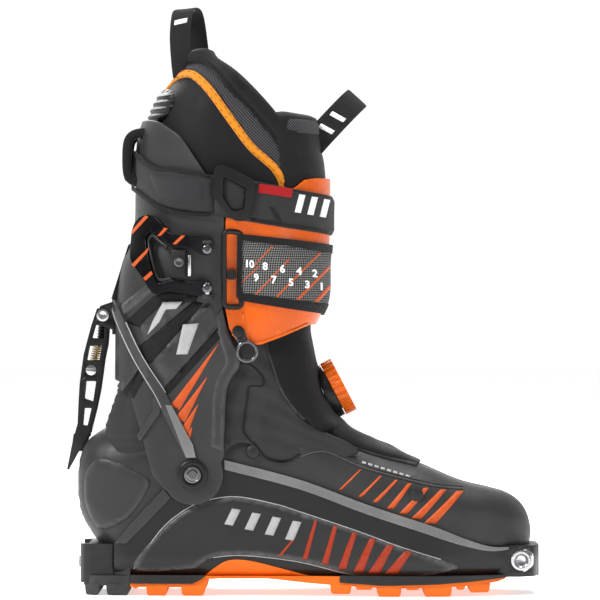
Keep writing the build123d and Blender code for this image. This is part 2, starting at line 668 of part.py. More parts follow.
# ---------------------------------------------------------------- moving hardware
def walk_lever():
    """Two side plates of the ski and walk lever, joined by cross pins."""
    outer_edge = [
        (-133.4, 185), (-137.1, 174), (-139.7, 164.5), (-142.2, 154.9), (-143.5, 145.3), (-144.8, 135.7),
        (-145.4, 126), (-146.1, 110), (-148.6, 101),
    ]
    inner_edge = [
        (-138.6, 92), (-139.8, 97.6), (-139.8, 101.4), (-137.4, 104), (-137.1, 106), (-133.6, 119.7),
        (-131, 132.5), (-129.7, 142), (-128.4, 151.7), (-126.4, 161.3), (-125.4, 174), (-125.6, 183),
    ]
    plate = side_mask(outer_edge + [(-148, 92)] + inner_edge, 5.4, 7.6)
    holes = [
        [(-128.6, 174), (-134.6, 174), (-137, 165.4), (-129, 165.4)],
        [(-130.4, 160.4), (-138.6, 160.4), (-140.4, 151), (-131.9, 151)],
        [(-134, 137.5), (-140.8, 137.5), (-142, 126), (-136, 124)],
        [(-137, 120), (-142, 120), (-143, 108.5), (-139.6, 108.5)],
    ]
    for hole in holes:
        plate -= side_mask(hole, 4, 9)
    bolt = cross_rod(2.5 + RUN, BRACKET, -30, 30) + cross_rod(1.65, LEVER_SCREW, -30, 30)
    cross = cross_rod(1.8, LEVER_PINS[0], -5.5, 5.5) + cross_rod(1.8, LEVER_PINS[1], -5.5, 5.5)
    return (both_sides(plate) + cross) - bolt


def lever_screw():
    """The slotted adjusting screw through the lever's boss."""
    x, z = LEVER_SCREW
    pin = cross_rod(3.3, (x, z), -5.3, 5.3)
    heads = both_sides(cross_rod(3.4, (x, z), 7.7, 9.0) + cross_rod(1.6, (x, z), 5.3, 7.75))
    return pin + heads - block((x - 4, x + 4), (-10, -8.3), (z - 0.5, z + 0.5))


def lever_spring():
    """The coil between the lever's cross pins, as its outer form."""
    coil = rod(3.1, (-133.4, 0, 160.8), (-135.6, 0, 150))
    return coil - rod(1.6, (-133, 0, 163), (-136, 0, 148))


def lever_hook():
    """The steel foot of the lever: the notch faces the catch bar and the tab is for a finger or pole tip."""
    outline = [
        (-143.5, 104.2), (-137.7, 103), (-137.9, 101.9), (-139.1, 100.6), (-139.4, 98.4), (-139.0, 95.9),
        (-137.7, 94.6), (-138.2, 92.8), (-145.3, 92.2), (-152.0, 79.8), (-153.1, 80.2), (-149.6, 97.5),
        (-148.8, 103.2),
    ]
    return side_mask(outline, -5.2, 5.2) - cross_rod(1.85, LEVER_PINS[1], -9, 9)


def d_ring():
    x, z = D_STUD
    tab = side_mask([(x - 1.7, z + 2.6), (x + 4, z + 1.4), (x + 6.3, z - 6.4), (x + 0.6, z - 8.4), (x - 3, z - 1.4)],
                    -51.4, -50.2)
    ring_at = (x + 5.6, z - 13)
    hoop = Plane(origin=(ring_at[0], -50.8, ring_at[1]), z_dir=(0, 1, 0)) * Torus(6.2, 1.1)
    return (tab - cross_rod(1.5 + RUN, (x, z), -60, -40)) + hoop


def main():
    save("lower_shell", lower_shell())
    save("sole_frame", sole_frame())
    save("toe_ledge", toe_ledge())
    save("toe_insert", toe_insert())
    save("heel_insert", heel_insert())
    save("heel_insert_screw", heel_insert_screw())
    save("outsole_forefoot", outsole_forefoot())
    save("outsole_heel", outsole_heel())
    save("heel_lug_pad", heel_lug_pad())
    save("boot_board", boot_board())
    save("footbed", footbed())
    save("liner_foot", liner_foot())
    save("liner_ankle", liner_ankle())
    save("gaiter", gaiter())
    save("achilles_cover", achilles_cover())
    save("catch_bar", catch_bar())
    for name, piece in pivot_hardware().items():
        save(name, both_sides(piece))
    save("shell_rivets", shell_rivets())
    save("reel_base", reel_base())
    save("reel_spindle", reel_spindle())
    save("reel_dial", reel_dial())
    save("reel_lace", reel_lace())
    save("lace_guides", lace_guides())
    save("cuff_shell", cuff_shell())
    save("cuff_brace_lateral", cuff_brace(-1))
    save("cuff_brace_medial", cuff_brace(1))
    save("tongue_flap", tongue_flap())
    save("liner_shaft", liner_shaft())
    save("liner_tongue", liner_tongue())
    save("liner_flex_piece", liner_flex_piece())
    save("rear_pull_loop", rear_pull_loop())
    save("tongue_pull_loop", tongue_pull_loop())
    save("cuff_band", cuff_band())
    save("rear_strap_loop", rear_strap_loop())
    save("strap_window", strap_window())
    save("power_strap", power_strap())
    save("closure_strap", closure_strap())
    save("strap_rivets", strap_rivets())
    save("buckle_base", buckle_base())
    save("buckle_screw", buckle_screw())
    save("lever_pins", lever_pins())
    save("buckle_lever", buckle_lever())
    save("buckle_ring", buckle_ring())
    save("ring_rod", ring_rod())
    save("rear_bracket", rear_bracket())
    save("bracket_bolt", bracket_bolt())
    save("walk_lever", walk_lever())
    save("lever_screw", lever_screw())
    save("lever_spring", lever_spring())
    save("lever_hook", lever_hook())
    save("d_ring_stud", d_ring_stud())
    save("d_ring", d_ring())


main()
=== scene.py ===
"""An alpine touring boot for the right foot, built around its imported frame.

Lengths are in millimetres and become metres when a mesh is made.
+X is the toe, +Z is up and -Y is the outer side.
"""

import math

import bmesh
import bpy
import numpy as np
from mathutils import Matrix, Vector
from mathutils.geometry import delaunay_2d_cdt


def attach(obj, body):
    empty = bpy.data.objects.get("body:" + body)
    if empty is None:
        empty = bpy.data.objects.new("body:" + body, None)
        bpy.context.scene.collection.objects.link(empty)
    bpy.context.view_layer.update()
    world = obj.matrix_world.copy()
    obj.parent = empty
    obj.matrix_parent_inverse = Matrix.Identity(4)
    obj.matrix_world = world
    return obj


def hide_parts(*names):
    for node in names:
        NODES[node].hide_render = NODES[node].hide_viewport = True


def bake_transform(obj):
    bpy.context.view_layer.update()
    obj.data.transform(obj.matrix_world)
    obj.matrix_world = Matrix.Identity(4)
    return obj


MM = 0.001
MID = 4.0           # the foot's centre plane, from the frame's origin
PIVOT = (-70.2, 78.4)
OUTER, INNER = -1, 1    # the buckle side and the other side, as signs of y

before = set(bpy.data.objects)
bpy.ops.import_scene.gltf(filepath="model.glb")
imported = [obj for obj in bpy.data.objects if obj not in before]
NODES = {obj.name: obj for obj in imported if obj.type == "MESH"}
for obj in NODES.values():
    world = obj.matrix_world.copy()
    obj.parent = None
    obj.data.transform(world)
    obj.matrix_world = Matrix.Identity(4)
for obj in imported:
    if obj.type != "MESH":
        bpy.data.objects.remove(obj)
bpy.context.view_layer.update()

# ---------------------------------------------------------------- stations of the forms
# The foot: x, half width outside, half width inside, bottom, top, corner radius.
FOOT = [
    (-146.4, 7, 7, 61, 80, 6), (-144.9, 14, 14, 53.5, 89, 12), (-141.5, 21, 21, 46, 97, 17),
    (-136, 26.5, 26.5, 38, 103, 22), (-128, 31, 31, 28, 107, 26), (-118, 34, 34, 20, 109.5, 28),
    (-105, 35.5, 35.5, 17, 112, 28), (-70, 38, 38, 16, 113, 28), (-35, 38.5, 38.5, 16, 119, 28),
    (-8, 39.3, 39.3, 16, 124.5, 28), (20, 42.5, 42, 16, 109, 30), (41, 45.5, 46, 16, 98.5, 30),
    (62, 48, 49.5, 16, 88.5, 28), (75, 48, 49.5, 16, 84.3, 27), (104, 44, 44, 16.5, 72.3, 24),
    (122, 37, 36, 18, 68, 20), (135, 28, 27, 20, 64, 17), (143, 18.5, 17.5, 24, 57.5, 12),
    (147, 11, 11, 29.5, 50, 8), (148.8, 4, 4, 36, 43, 3),
]
# The leg: height, back, front, half width twice, corner radius, as Form wants them.
LEG = [
    (50, -121.5, 8, 44.2, 30), (139, -121.5, 8, 44.8, 32), (165, -121.5, 6, 46.5, 38),
    (190, -121, 15.8, 48, 43), (215, -117, 17, 49.5, 46), (230, -110.6, 18, 50.5, 48),
    (265, -108.3, 18.4, 52, 50), (307, -104, 13.5, 52, 50), (330, -88.5, 12, 49, 47),
    (352, -73, 6, 43, 38),
]
# The soft inside of the boot, from the heel pocket to the collar.
SOCK = [
    (60, -112, 22, 30, 22), (97, -111.5, 20, 31.5, 24), (112, -112.5, 17, 32, 26), (130, -113.5, 9, 33.5, 30),
    (150, -115, 2.5, 35, 32), (173, -115.5, -1.5, 38.5, 36), (200, -113, 8.5, 42.5, 40),
    (230, -105.2, 12.6, 45.2, 43), (265, -103, 13, 46.6, 45), (300, -99.4, 9.5, 46.8, 45),
    (320, -92.5, 7.5, 45, 43), (335, -81.5, 4, 42, 40), (352, -71.8, 0, 38.5, 36),
]


class Form:
    """A body of rounded sections. A place on it is (u, w): w runs along it, and u runs round one section.

    u is 0 at the sole or the back of the leg, 1 or -1 at the top or the front, positive on the outer side and
    negative on the inner side. Past 1 it carries on down the inner side.
    """

    def __init__(self, stations, along_x):
        self.along_x = along_x
        if not along_x:
            stations = [(w, half, half, low, high, r) for w, low, high, half, r in stations]
        self.w = np.array([s[0] for s in stations], float)
        self.values = np.array([s[1:] for s in stations], float)
        self.slopes = self._slopes()

    def _slopes(self):
        """Slopes at the stations that never overshoot between them."""
        steps = np.diff(self.w)[:, None]
        secant = np.diff(self.values, axis=0) / steps
        slopes = np.vstack([secant[:1], (secant[:-1] + secant[1:]) / 2, secant[-1:]])
        turns = secant[:-1] * secant[1:] <= 0
        slopes[1:-1][turns] = 0
        return slopes

    def section(self, w):
        """Half width outside and inside, low, high and corner radius at w."""
        w = min(max(w, self.w[0]), self.w[-1])
        i = min(max(int(np.searchsorted(self.w, w)) - 1, 0), len(self.w) - 2)
        span = self.w[i + 1] - self.w[i]
        t = (w - self.w[i]) / span
        a = (1 + 2 * t) * (1 - t) ** 2
        b = t * (1 - t) ** 2
        c = t * t * (3 - 2 * t)
        d = t * t * (t - 1)
        return (a * self.values[i] + b * span * self.slopes[i] + c * self.values[i + 1]
                + d * span * self.slopes[i + 1])

    def _runs(self, w, side):
        outer, inner, low, high, radius = self.section(w)
        half = outer if side == OUTER else inner
        radius = max(0.2, min(radius, half - 0.1, (high - low) / 2 - 0.1))
        return half, low, high, radius

    def girth(self, w, side=OUTER):
        """Half of the way round the section at w."""
        half, low, high, radius = self._runs(w, side)
        return 2 * (half - radius) + math.pi * radius + (high - low - 2 * radius)

    def side_of(self, u):
        u = (u + 1) % 2 - 1 if u != 1 else 1
        return (OUTER, abs(u)) if u >= 0 else (INNER, abs(u))

    def point(self, u, w, out=0.0):
        """The place at (u, w), moved out along the section's own normal, in millimetres."""
        side, q = self.side_of(u)
        half, low, high, radius = self._runs(w, side)
        flat = half - radius
        bend = math.pi * radius / 2
        wall = high - low - 2 * radius
        s = q * (2 * flat + 2 * bend + wall)
        if s < flat:
            along, across, normal = low, s, (-1, 0)
        elif s < flat + bend:
            angle = (s - flat) / radius
            normal = (-math.cos(angle), math.sin(angle))
            along, across = low + radius + radius * normal[0], flat + radius * normal[1]
        elif s < flat + bend + wall:
            along, across, normal = low + radius + s - flat - bend, half, (0, 1)
        elif s < flat + 2 * bend + wall:
            angle = (s - flat - bend - wall) / radius
            normal = (math.sin(angle), math.cos(angle))
            along, across = high - radius + radius * normal[0], flat + radius * normal[1]
        else:
            along, across, normal = high, 2 * flat + 2 * bend + wall - s, (1, 0)
        along += out * normal[0]
        across += out * normal[1]
        if self.along_x:
            return (w, side * across + MID, along)
        return (along, side * across + MID, w)

    def u_at(self, along, w):
        """The u, on the outer side, where the section at w reaches a given x on the leg or z on the foot."""
        half, low, high, radius = self._runs(w, OUTER)
        flat = half - radius
        bend = math.pi * radius / 2
        wall = high - low - 2 * radius
        if along <= low + radius:
            s = flat + radius * math.acos(min(1, max(-1, (low + radius - along) / radius)))
        elif along <= high - radius:
            s = flat + bend + along - low - radius
        else:
            s = flat + bend + wall + radius * math.asin(min(1, (along - high + radius) / radius))
        return s / (2 * flat + 2 * bend + wall)

    def place(self, x, z, out=0.0):
        """A point of the side view as (u, w), for a piece that lies out mm off the surface."""
        if self.along_x:
            return (self.u_at(z, x), x)
        if not out:
            return (self.u_at(x, z), z)
        low, high = 0.0, 1.0
        for _ in range(30):
            middle = (low + high) / 2
            if self.point(middle, z, out)[0] < x:
                low = middle
            else:
                high = middle
        return (low, z)


foot = Form(FOOT, True)
leg = Form(LEG, False)
sock = Form(SOCK, False)


# ---------------------------------------------------------------- outlines
def dense(points, step, closed=True):
    """Points no further apart than step along an outline."""
    ends = points[1:] + points[:1] if closed else points[1:]
    out = []
    for a, b in zip(points, ends):
        count = max(1, int(math.ceil(math.dist(a, b) / step)))
        out += [tuple(p + (q - p) * i / count for p, q in zip(a, b)) for i in range(count)]
    return out if closed else out + [tuple(points[-1])]


def smooth(points, step=2.0, closed=False):
    """A curve through the points (Catmull-Rom), as points about a step apart."""
    count = len(points)
    out = []
    for i in range(count if closed else count - 1):
        if closed:
            p0, p1, p2, p3 = (Vector(points[(i + k) % count]) for k in (-1, 0, 1, 2))
        else:
            p0 = Vector(points[max(i - 1, 0)])
            p1, p2 = Vector(points[i]), Vector(points[i + 1])
            p3 = Vector(points[min(i + 2, count - 1)])
        parts = max(1, int(math.ceil((p2 - p1).length / step)))
        for k in range(parts):
            t = k / parts
            out.append(tuple(0.5 * (2 * p1 + (p2 - p0) * t + (2 * p0 - 5 * p1 + 4 * p2 - p3) * t * t
                                    + (3 * p1 - p0 - 3 * p2 + p3) * t ** 3)))
    return out if closed else out + [tuple(points[-1])]


def rounded_corners(points, radius, parts=4):
    """A closed outline with its corners cut by short arcs."""
    out = []
    count = len(points)
    for i, point in enumerate(points):
        corner = Vector(point)
        before = Vector(points[i - 1]) - corner
        after = Vector(points[(i + 1) % count]) - corner
        reach = min(radius, before.length * 0.45, after.length * 0.45)
        a = corner + before.normalized() * reach
        b = corner + after.normalized() * reach
        for k in range(parts + 1):
            t = k / parts
            out.append(tuple(a * (1 - t) ** 2 + corner * 2 * t * (1 - t) + b * t * t))
    return out


def side_ring(form, points, step=2.2, out=0.0):
    """A closed outline of the side view on the outer side, in (u, w)."""
    return [form.place(x, z, out) for x, z in dense(points, step)]


def flipped(ring):
    """The same outline on the inner side."""
    return [(-u, w) for u, w in ring]


def wrapped(form, chain, other=None, over=False, step=2.2):
    """An outline round the back or sole, or with over the front, from an open line of the side view.

    other is the line on the inner side, when it differs.
    """
    first = [form.place(x, z) for x, z in dense(chain, step, closed=False)]
    second = [form.place(x, z) for x, z in dense(other or chain, step, closed=False)]
    if over:
        second = [(2 - u, w) for u, w in second]
    else:
        second = [(-u, w) for u, w in second]
    return first + second[::-1]


def inside(points, ring):
    """Which points lie inside a ring."""
    x, y = points[:, 0], points[:, 1]
    found = np.zeros(len(points), bool)
    a = np.array(ring)
    b = np.roll(a, -1, axis=0)
    for (x0, y0), (x1, y1) in zip(a, b):
        crosses = (y0 > y) != (y1 > y)
        if crosses.any():
            edge = (x1 - x0) * (y - y0) / (y1 - y0 if y1 != y0 else 1e-9) + x0
            found ^= crosses & (x < edge)
    return found


def edge_distance(points, rings):
    """How far each point is from the nearest edge of the rings."""
    best = np.full(len(points), 1e9)
    for ring in rings:
        a = np.array(ring)
        b = np.roll(a, -1, axis=0)
        for p, q in zip(a, b):
            d = q - p
            length = max(float(d @ d), 1e-12)
            t = np.clip(((points - p) @ d) / length, 0, 1)
            best = np.minimum(best, np.hypot(*(points - p - t[:, None] * d).T))
    return best


# ---------------------------------------------------------------- meshes
def new_object(name, verts, faces, material, uvs=None, flat=False):
    """A mesh object from points in millimetres."""
    mesh = bpy.data.meshes.new(name)
    mesh.from_pydata([Vector(v) * MM for v in verts], [], faces)
    mesh.update()
    if uvs is not None:
        layer = mesh.uv_layers.new(name="surface")
        index = np.zeros(len(mesh.loops), int)
        mesh.loops.foreach_get("vertex_index", index)
        layer.data.foreach_set("uv", (np.array(uvs)[index] * MM).ravel())
    obj = bpy.data.objects.new(name, mesh)
    bpy.context.scene.collection.objects.link(obj)
    mesh.materials.append(material)
    if not flat:
        mesh.shade_smooth()
    return obj


def sharpen(obj, degrees=38):
    obj.data.set_sharp_from_angle(angle=math.radians(degrees))
    return obj


def soften(obj, width, degrees=40, segments=2):
    """Rounded edges, as a modifier."""
    bevel = obj.modifiers.new("edges", "BEVEL")
    bevel.width = width * MM
    bevel.segments = segments
    bevel.limit_method = "ANGLE"
    bevel.angle_limit = math.radians(degrees)
    bevel.harden_normals = True
    bevel.use_clamp_overlap = True
    return obj


def skin(name, form, ring, low, high, material, holes=(), grid=3.4, round_over=0.0, relief=None, edge=0.45):
    """A solid layer on a form from the offset low to high, inside a ring of (u, w), outside the holes.

    round_over slopes the top down to low near the edge, over that many millimetres.
    relief(u, w) adds to the top.
    """
    middle = sum(w for _, w in ring) / len(ring)
    scale = form.girth(middle)
    flat_ring = dense([(u * scale, w) for u, w in ring], grid)
    flat_holes = [dense([(u * scale, w) for u, w in hole], grid) for hole in holes]
    corner = np.min(flat_ring, axis=0)
    size = np.max(flat_ring, axis=0) - corner
    rows, columns = int(size[1] / (grid * 0.87)) + 1, int(size[0] / grid) + 2
    lattice = np.array([(corner[0] + (i + 0.5 * (j % 2)) * grid, corner[1] + j * grid * 0.87)
                        for j in range(rows) for i in range(columns)])
    keep = inside(lattice, flat_ring)
    for hole in flat_holes:
        keep &= ~inside(lattice, hole)
    lattice = lattice[keep]
    if len(lattice):
        lattice = lattice[edge_distance(lattice, [flat_ring] + flat_holes) > grid * 0.45]
    points = list(flat_ring)
    edges = [(i, (i + 1) % len(flat_ring)) for i in range(len(flat_ring))]
    for hole in flat_holes:
        start = len(points)
        points += hole
        edges += [(start + i, start + (i + 1) % len(hole)) for i in range(len(hole))]
    if round_over:
        border = edge_distance(lattice, [flat_ring] + flat_holes) if len(lattice) else []
        lattice = lattice[np.array(border) > 0.1] if len(lattice) else lattice
    points += [tuple(p) for p in lattice]
    out, _, triangles, *_ = delaunay_2d_cdt([Vector(p) for p in points], edges, [], 1, 1e-6)
    out = np.array([tuple(p) for p in out])
    centres = np.array([out[list(t)].mean(axis=0) for t in triangles])
    wanted = inside(centres, flat_ring)
    for hole in flat_holes:
        wanted &= ~inside(centres, hole)
    triangles = [tuple(t) for t, good in zip(triangles, wanted) if good]
    return layered(name, form, out, triangles, scale, low, high, material, [flat_ring] + flat_holes,
                   round_over, relief, edge)


def layered(name, form, flat, triangles, scale, low, high, material, rings, round_over, relief, edge):
    """Two layers over flat triangles, with walls along their border."""
    used = sorted({i for t in triangles for i in t})
    number = {old: new for new, old in enumerate(used)}
    flat = flat[used]
    triangles = [tuple(number[i] for i in t) for t in triangles]
    rise = np.ones(len(flat))
    if round_over:
        t = np.clip(edge_distance(flat, rings) / round_over, 0, 1)
        rise = np.sqrt(1 - (1 - t) ** 2)
    top, bottom = [], []
    for (s, w), share in zip(flat, rise):
        u = s / scale
        height = low + (high - low) * (0.12 + 0.88 * share if round_over else 1)
        if relief:
            height += relief(u, w)
        top.append(form.point(u, w, height))
        bottom.append(form.point(u, w, low))
    count = len(flat)
    faces = [t for t in triangles] + [tuple(i + count for i in t[::-1]) for t in triangles]
    sides = {}
    for t in triangles:
        for a, b in zip(t, t[1:] + t[:1]):
            sides[(a, b)] = True
    for a, b in sides:
        if (b, a) not in sides:
            faces.append((b, a, a + count, b + count))
    obj = new_object(name, top + bottom, faces, material, uvs=np.vstack([flat, flat]))
    fix_normals(obj)
    if edge:
        soften(obj, edge)
    return obj


def fix_normals(obj):
    """Faces of a closed mesh turned outwards."""
    work = bmesh.new()
    work.from_mesh(obj.data)
    bmesh.ops.recalc_face_normals(work, faces=work.faces)
    work.to_mesh(obj.data)
    work.free()
    return obj


def turned(axis):
    """A matrix whose Z is the axis."""
    return Vector(axis).to_track_quat("Z", "Y").to_matrix()


def lathe(name, centre, axis, profile, material, parts=48, squash=None):
    """A turned piece: profile is radius and height pairs along the axis."""
    matrix = turned(axis)
    verts, faces = [], []
    for radius, height in profile:
        for k in range(parts):
            angle = 2 * math.pi * k / parts
            reach = radius * (squash(k / parts) if squash else 1)
            verts.append(Vector(centre) + matrix @ Vector((reach * math.cos(angle), reach * math.sin(angle),
                                                           height)))
    for i in range(len(profile) - 1):
        for k in range(parts):
            j = (k + 1) % parts
            faces.append((i * parts + k, i * parts + j, (i + 1) * parts + j, (i + 1) * parts + k))
    faces.append(tuple(range(parts))[::-1])
    faces.append(tuple((len(profile) - 1) * parts + k for k in range(parts)))
    obj = fix_normals(new_object(name, verts, faces, material))
    return sharpen(obj)


def prism(name, outline, low, high, material, edge=0.4, axis="y"):
    """A flat outline (x, z) carried from y = low to y = high, or (x, y) from z = low to z = high with
    axis z.
    """
    count = len(outline)
    if axis == "y":
        verts = [(x, low + MID, z) for x, z in outline] + [(x, high + MID, z) for x, z in outline]
    else:
        verts = [(x, y + MID, low) for x, y in outline] + [(x, y + MID, high) for x, y in outline]
    faces = [tuple(range(count)), tuple(range(count, 2 * count))[::-1]]
    faces += [(i, (i + 1) % count, (i + 1) % count + count, i + count) for i in range(count)]
    obj = fix_normals(new_object(name, verts, faces, material))
    if edge:
        soften(obj, edge)
    return obj


def sweep(name, path, radius, material, parts=10, closed=False, flat=None, twist=None):
    """A tube along points. flat=(width, thickness) gives it a strap's section, laid across twist(i)."""
    points = [Vector(p) for p in path]
    count = len(points)
    verts, faces = [], []
    for i, point in enumerate(points):
        before = points[i - 1] if closed or i else point
        after = points[(i + 1) % count] if closed or i < count - 1 else point
        ahead = (after - before).normalized()
        across = Vector(twist(i)) if twist else Vector((0, 1, 0)) if abs(ahead.y) < 0.9 else Vector((0, 0, 1))
        across = (across - ahead * across.dot(ahead)).normalized()
        up = ahead.cross(across)
        for k in range(parts):
            angle = 2 * math.pi * (k + 0.5) / parts
            c, s = math.cos(angle), math.sin(angle)
            if flat:
                c = math.copysign(abs(c) ** 0.35, c) * flat[0] / 2
                s = math.copysign(abs(s) ** 0.6, s) * flat[1] / 2
            else:
                size = radius(i / (count - 1)) if callable(radius) else radius
                c, s = c * size, s * size
            verts.append(point + across * c + up * s)
    for i in range(count if closed else count - 1):
        j = (i + 1) % count
        for k in range(parts):
            m = (k + 1) % parts
            faces.append((i * parts + k, i * parts + m, j * parts + m, j * parts + k))
    if not closed:
        faces += [tuple(range(parts))[::-1], tuple((count - 1) * parts + k for k in range(parts))]
    return sharpen(fix_normals(new_object(name, verts, faces, material)), 50)


def done(obj, body, slot, *nodes):
    """obj rides on a body and stands for CAD nodes, which are hidden. slot is not used."""
    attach(obj, body)
    if nodes:
        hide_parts(*nodes)
    return obj


# ---------------------------------------------------------------- materials
class Graph:
    """A material's nodes, added one by one."""

    def __init__(self, name):
        self.material = bpy.data.materials.new(name)
        self.material.use_nodes = True
        self.tree = self.material.node_tree
        self.shader = self.tree.nodes["Principled BSDF"]

    def add(self, kind, inputs=None, **settings):
        node = self.tree.nodes.new("ShaderNode" + kind)
        for key, value in settings.items():
            setattr(node, key, value)
        for key, value in (inputs or {}).items():
            self.put(node.inputs[key], value)
        return node

    def put(self, socket, value):
        if isinstance(value, bpy.types.NodeSocket):
            self.tree.links.new(value, socket)
        else:
            socket.default_value = value

    def set(self, **values):
        for key, value in values.items():
            self.put(self.shader.inputs[key.replace("_", " ")], value)

    def noise(self, where, scale, detail=2.0, rough=0.5):
        node = self.add("TexNoise", {"Vector": where, "Scale": scale, "Detail": detail, "Roughness": rough})
        return node.outputs["Fac"]

    def span(self, value, low, high, to_low, to_high):
        node = self.add("MapRange", {"Value": value, "From Min": low, "From Max": high, "To Min": to_low,
                                     "To Max": to_high})
        return node.outputs["Result"]

    def maths(self, operation, a, b=0.0):
        node = self.add("Math", operation=operation)
        self.put(node.inputs[0], a)
        self.put(node.inputs[1], b)
        return node.outputs[0]

    def mixed(self, share, a, b):
        node = self.add("Mix", data_type="RGBA")
        self.put(node.inputs["Factor"], share)
        self.put(node.inputs["A"], a)
        self.put(node.inputs["B"], b)
        return node.outputs["Result"]

    def bumped(self, heights):
        """Bumps laid over each other: (height socket, depth in millimetres)."""
        normal = None
        for height, depth in heights:
            inputs = {"Height": height, "Distance": depth * MM, "Strength": 1.0}
            if normal:
                inputs["Normal"] = normal
            normal = self.add("Bump", inputs).outputs["Normal"]
        self.set(Normal=normal)


def linear(code, gain=1.0):
    """A screen colour such as 3d3d3d as linear light."""
    out = []
    for i in (0, 2, 4):
        value = int(code[i:i + 2], 16) / 255
        out.append(gain * (value / 12.92 if value <= 0.04045 else ((value + 0.055) / 1.055) ** 2.4))
    return (*out, 1.0)


def moulded(name, code, rough=0.5, grain=0.35, depth=0.035, uneven=0.12, wear="6a6a6a", worn=0.25,
            specular=0.32):
    """Moulded plastic or rubber: fine grain, uneven gloss, and edges rubbed a little lighter."""
    g = Graph(name)
    here = g.add("TexCoord").outputs["Object"]
    fine = g.noise(here, 1 / (grain * MM), 3.0, 0.6)
    broad = g.noise(here, 28.0, 3.0)
    scuff = g.noise(here, 210.0, 4.0, 0.7)
    base = linear(code)
    dark = tuple(c * (1 - uneven) for c in base[:3]) + (1.0,)
    light = tuple(c * (1 + uneven) for c in base[:3]) + (1.0,)
    colour = g.mixed(g.span(broad, 0.35, 0.65, 0, 1), dark, light)
    speck = tuple(c * 1.35 for c in base[:3]) + (1.0,)
    colour = g.mixed(g.span(fine, 0.62, 0.8, 0, 0.4), colour, speck)
    edge = g.span(g.add("NewGeometry").outputs["Pointiness"], 0.515, 0.56, 0, worn)
    edge = g.maths("MULTIPLY", edge, g.span(scuff, 0.35, 0.6, 0.3, 1))
    colour = g.mixed(edge, colour, linear(wear))
    g.set(Base_Color=colour, Roughness=g.span(scuff, 0.3, 0.7, rough - 0.07, rough + 0.09),
          Specular_IOR_Level=specular)
    g.bumped([(fine, depth), (broad, depth * 2.2)])
    return g.material


def metal(name, code, rough=0.28, brushed=True, dull="3a3836"):
    """Bare or plated metal with fine brushing and small marks."""
    g = Graph(name)
    here = g.add("TexCoord").outputs["Object"]
    stretched = g.add("Mapping", {"Vector": here, "Scale": (60.0, 900.0, 2600.0)}).outputs["Vector"]
    lines = g.noise(stretched if brushed else here, 1.0 if brushed else 900.0, 2.0)
    marks = g.noise(here, 160.0, 5.0, 0.7)
    colour = g.mixed(g.span(marks, 0.55, 0.8, 0, 0.35), linear(code), linear(dull))
    g.set(Base_Color=colour, Metallic=1.0, Roughness=g.span(marks, 0.3, 0.7, rough - 0.08, rough + 0.14))
    g.bumped([(lines, 0.012), (marks, 0.02)])
    return g.material


def woven(name, warp, weft, pitch=0.9, depth=0.12, rough=0.85, sheen=0.08, broad_scale=40.0):
    """Woven fabric or webbing: over and under threads along the surface, with fibres and soft unevenness."""
    g = Graph(name)
    place = g.add("UVMap", uv_map="surface").outputs["UV"]
    here = g.add("TexCoord").outputs["Object"]
    rate = 2 * math.pi / (pitch * MM)
    split = g.add("SeparateXYZ", {"Vector": place})
    u = g.maths("SINE", g.maths("MULTIPLY", split.outputs["X"], rate))
    v = g.maths("SINE", g.maths("MULTIPLY", split.outputs["Y"], rate))
    over = g.maths("MULTIPLY", u, v)
    threads = g.maths("ADD", g.maths("ABSOLUTE", u), g.maths("ABSOLUTE", v))
    fibre = g.noise(here, 4200.0, 3.0, 0.6)
    broad = g.noise(here, broad_scale, 3.0)
    colour = g.mixed(g.span(over, -0.25, 0.25, 0, 1), linear(warp), linear(weft))
    shade = g.span(broad, 0.3, 0.7, 0.0, 0.35)
    colour = g.mixed(shade, colour, tuple(c * 0.6 for c in linear(warp)[:3]) + (1.0,))
    g.set(Base_Color=colour, Roughness=g.span(fibre, 0.3, 0.7, rough - 0.08, min(1.0, rough + 0.08)),
          Sheen_Weight=sheen, Sheen_Roughness=0.5, Specular_IOR_Level=0.3)
    g.bumped([(threads, depth), (fibre, 0.05)])
    return g.material


def soft_shell(name, code, depth=0.05, rough=0.75, wrinkle=0.0):
    """Smooth stretch fabric without a visible weave: fine fibres, sheen and soft shadows."""
    g = Graph(name)
    here = g.add("TexCoord").outputs["Object"]
    fibre = g.noise(here, 2600.0, 3.0, 0.65)
    broad = g.noise(here, 55.0, 4.0, 0.6)
    base = linear(code)
    colour = g.mixed(g.span(broad, 0.3, 0.7, 0, 1), tuple(c * 0.78 for c in base[:3]) + (1.0,),
                     tuple(c * 1.2 for c in base[:3]) + (1.0,))
    colour = g.mixed(g.span(fibre, 0.6, 0.8, 0, 0.35), colour, tuple(c * 1.7 for c in base[:3]) + (1.0,))
    g.set(Base_Color=colour, Roughness=g.span(broad, 0.3, 0.7, rough - 0.1, rough + 0.12), Sheen_Weight=0.07,
          Sheen_Roughness=0.4, Specular_IOR_Level=0.22)
    heights = [(fibre, depth)]
    if wrinkle:
        heights.append((g.noise(here, 120.0, 3.0, 0.55), wrinkle))
    g.bumped(heights)
    return g.material


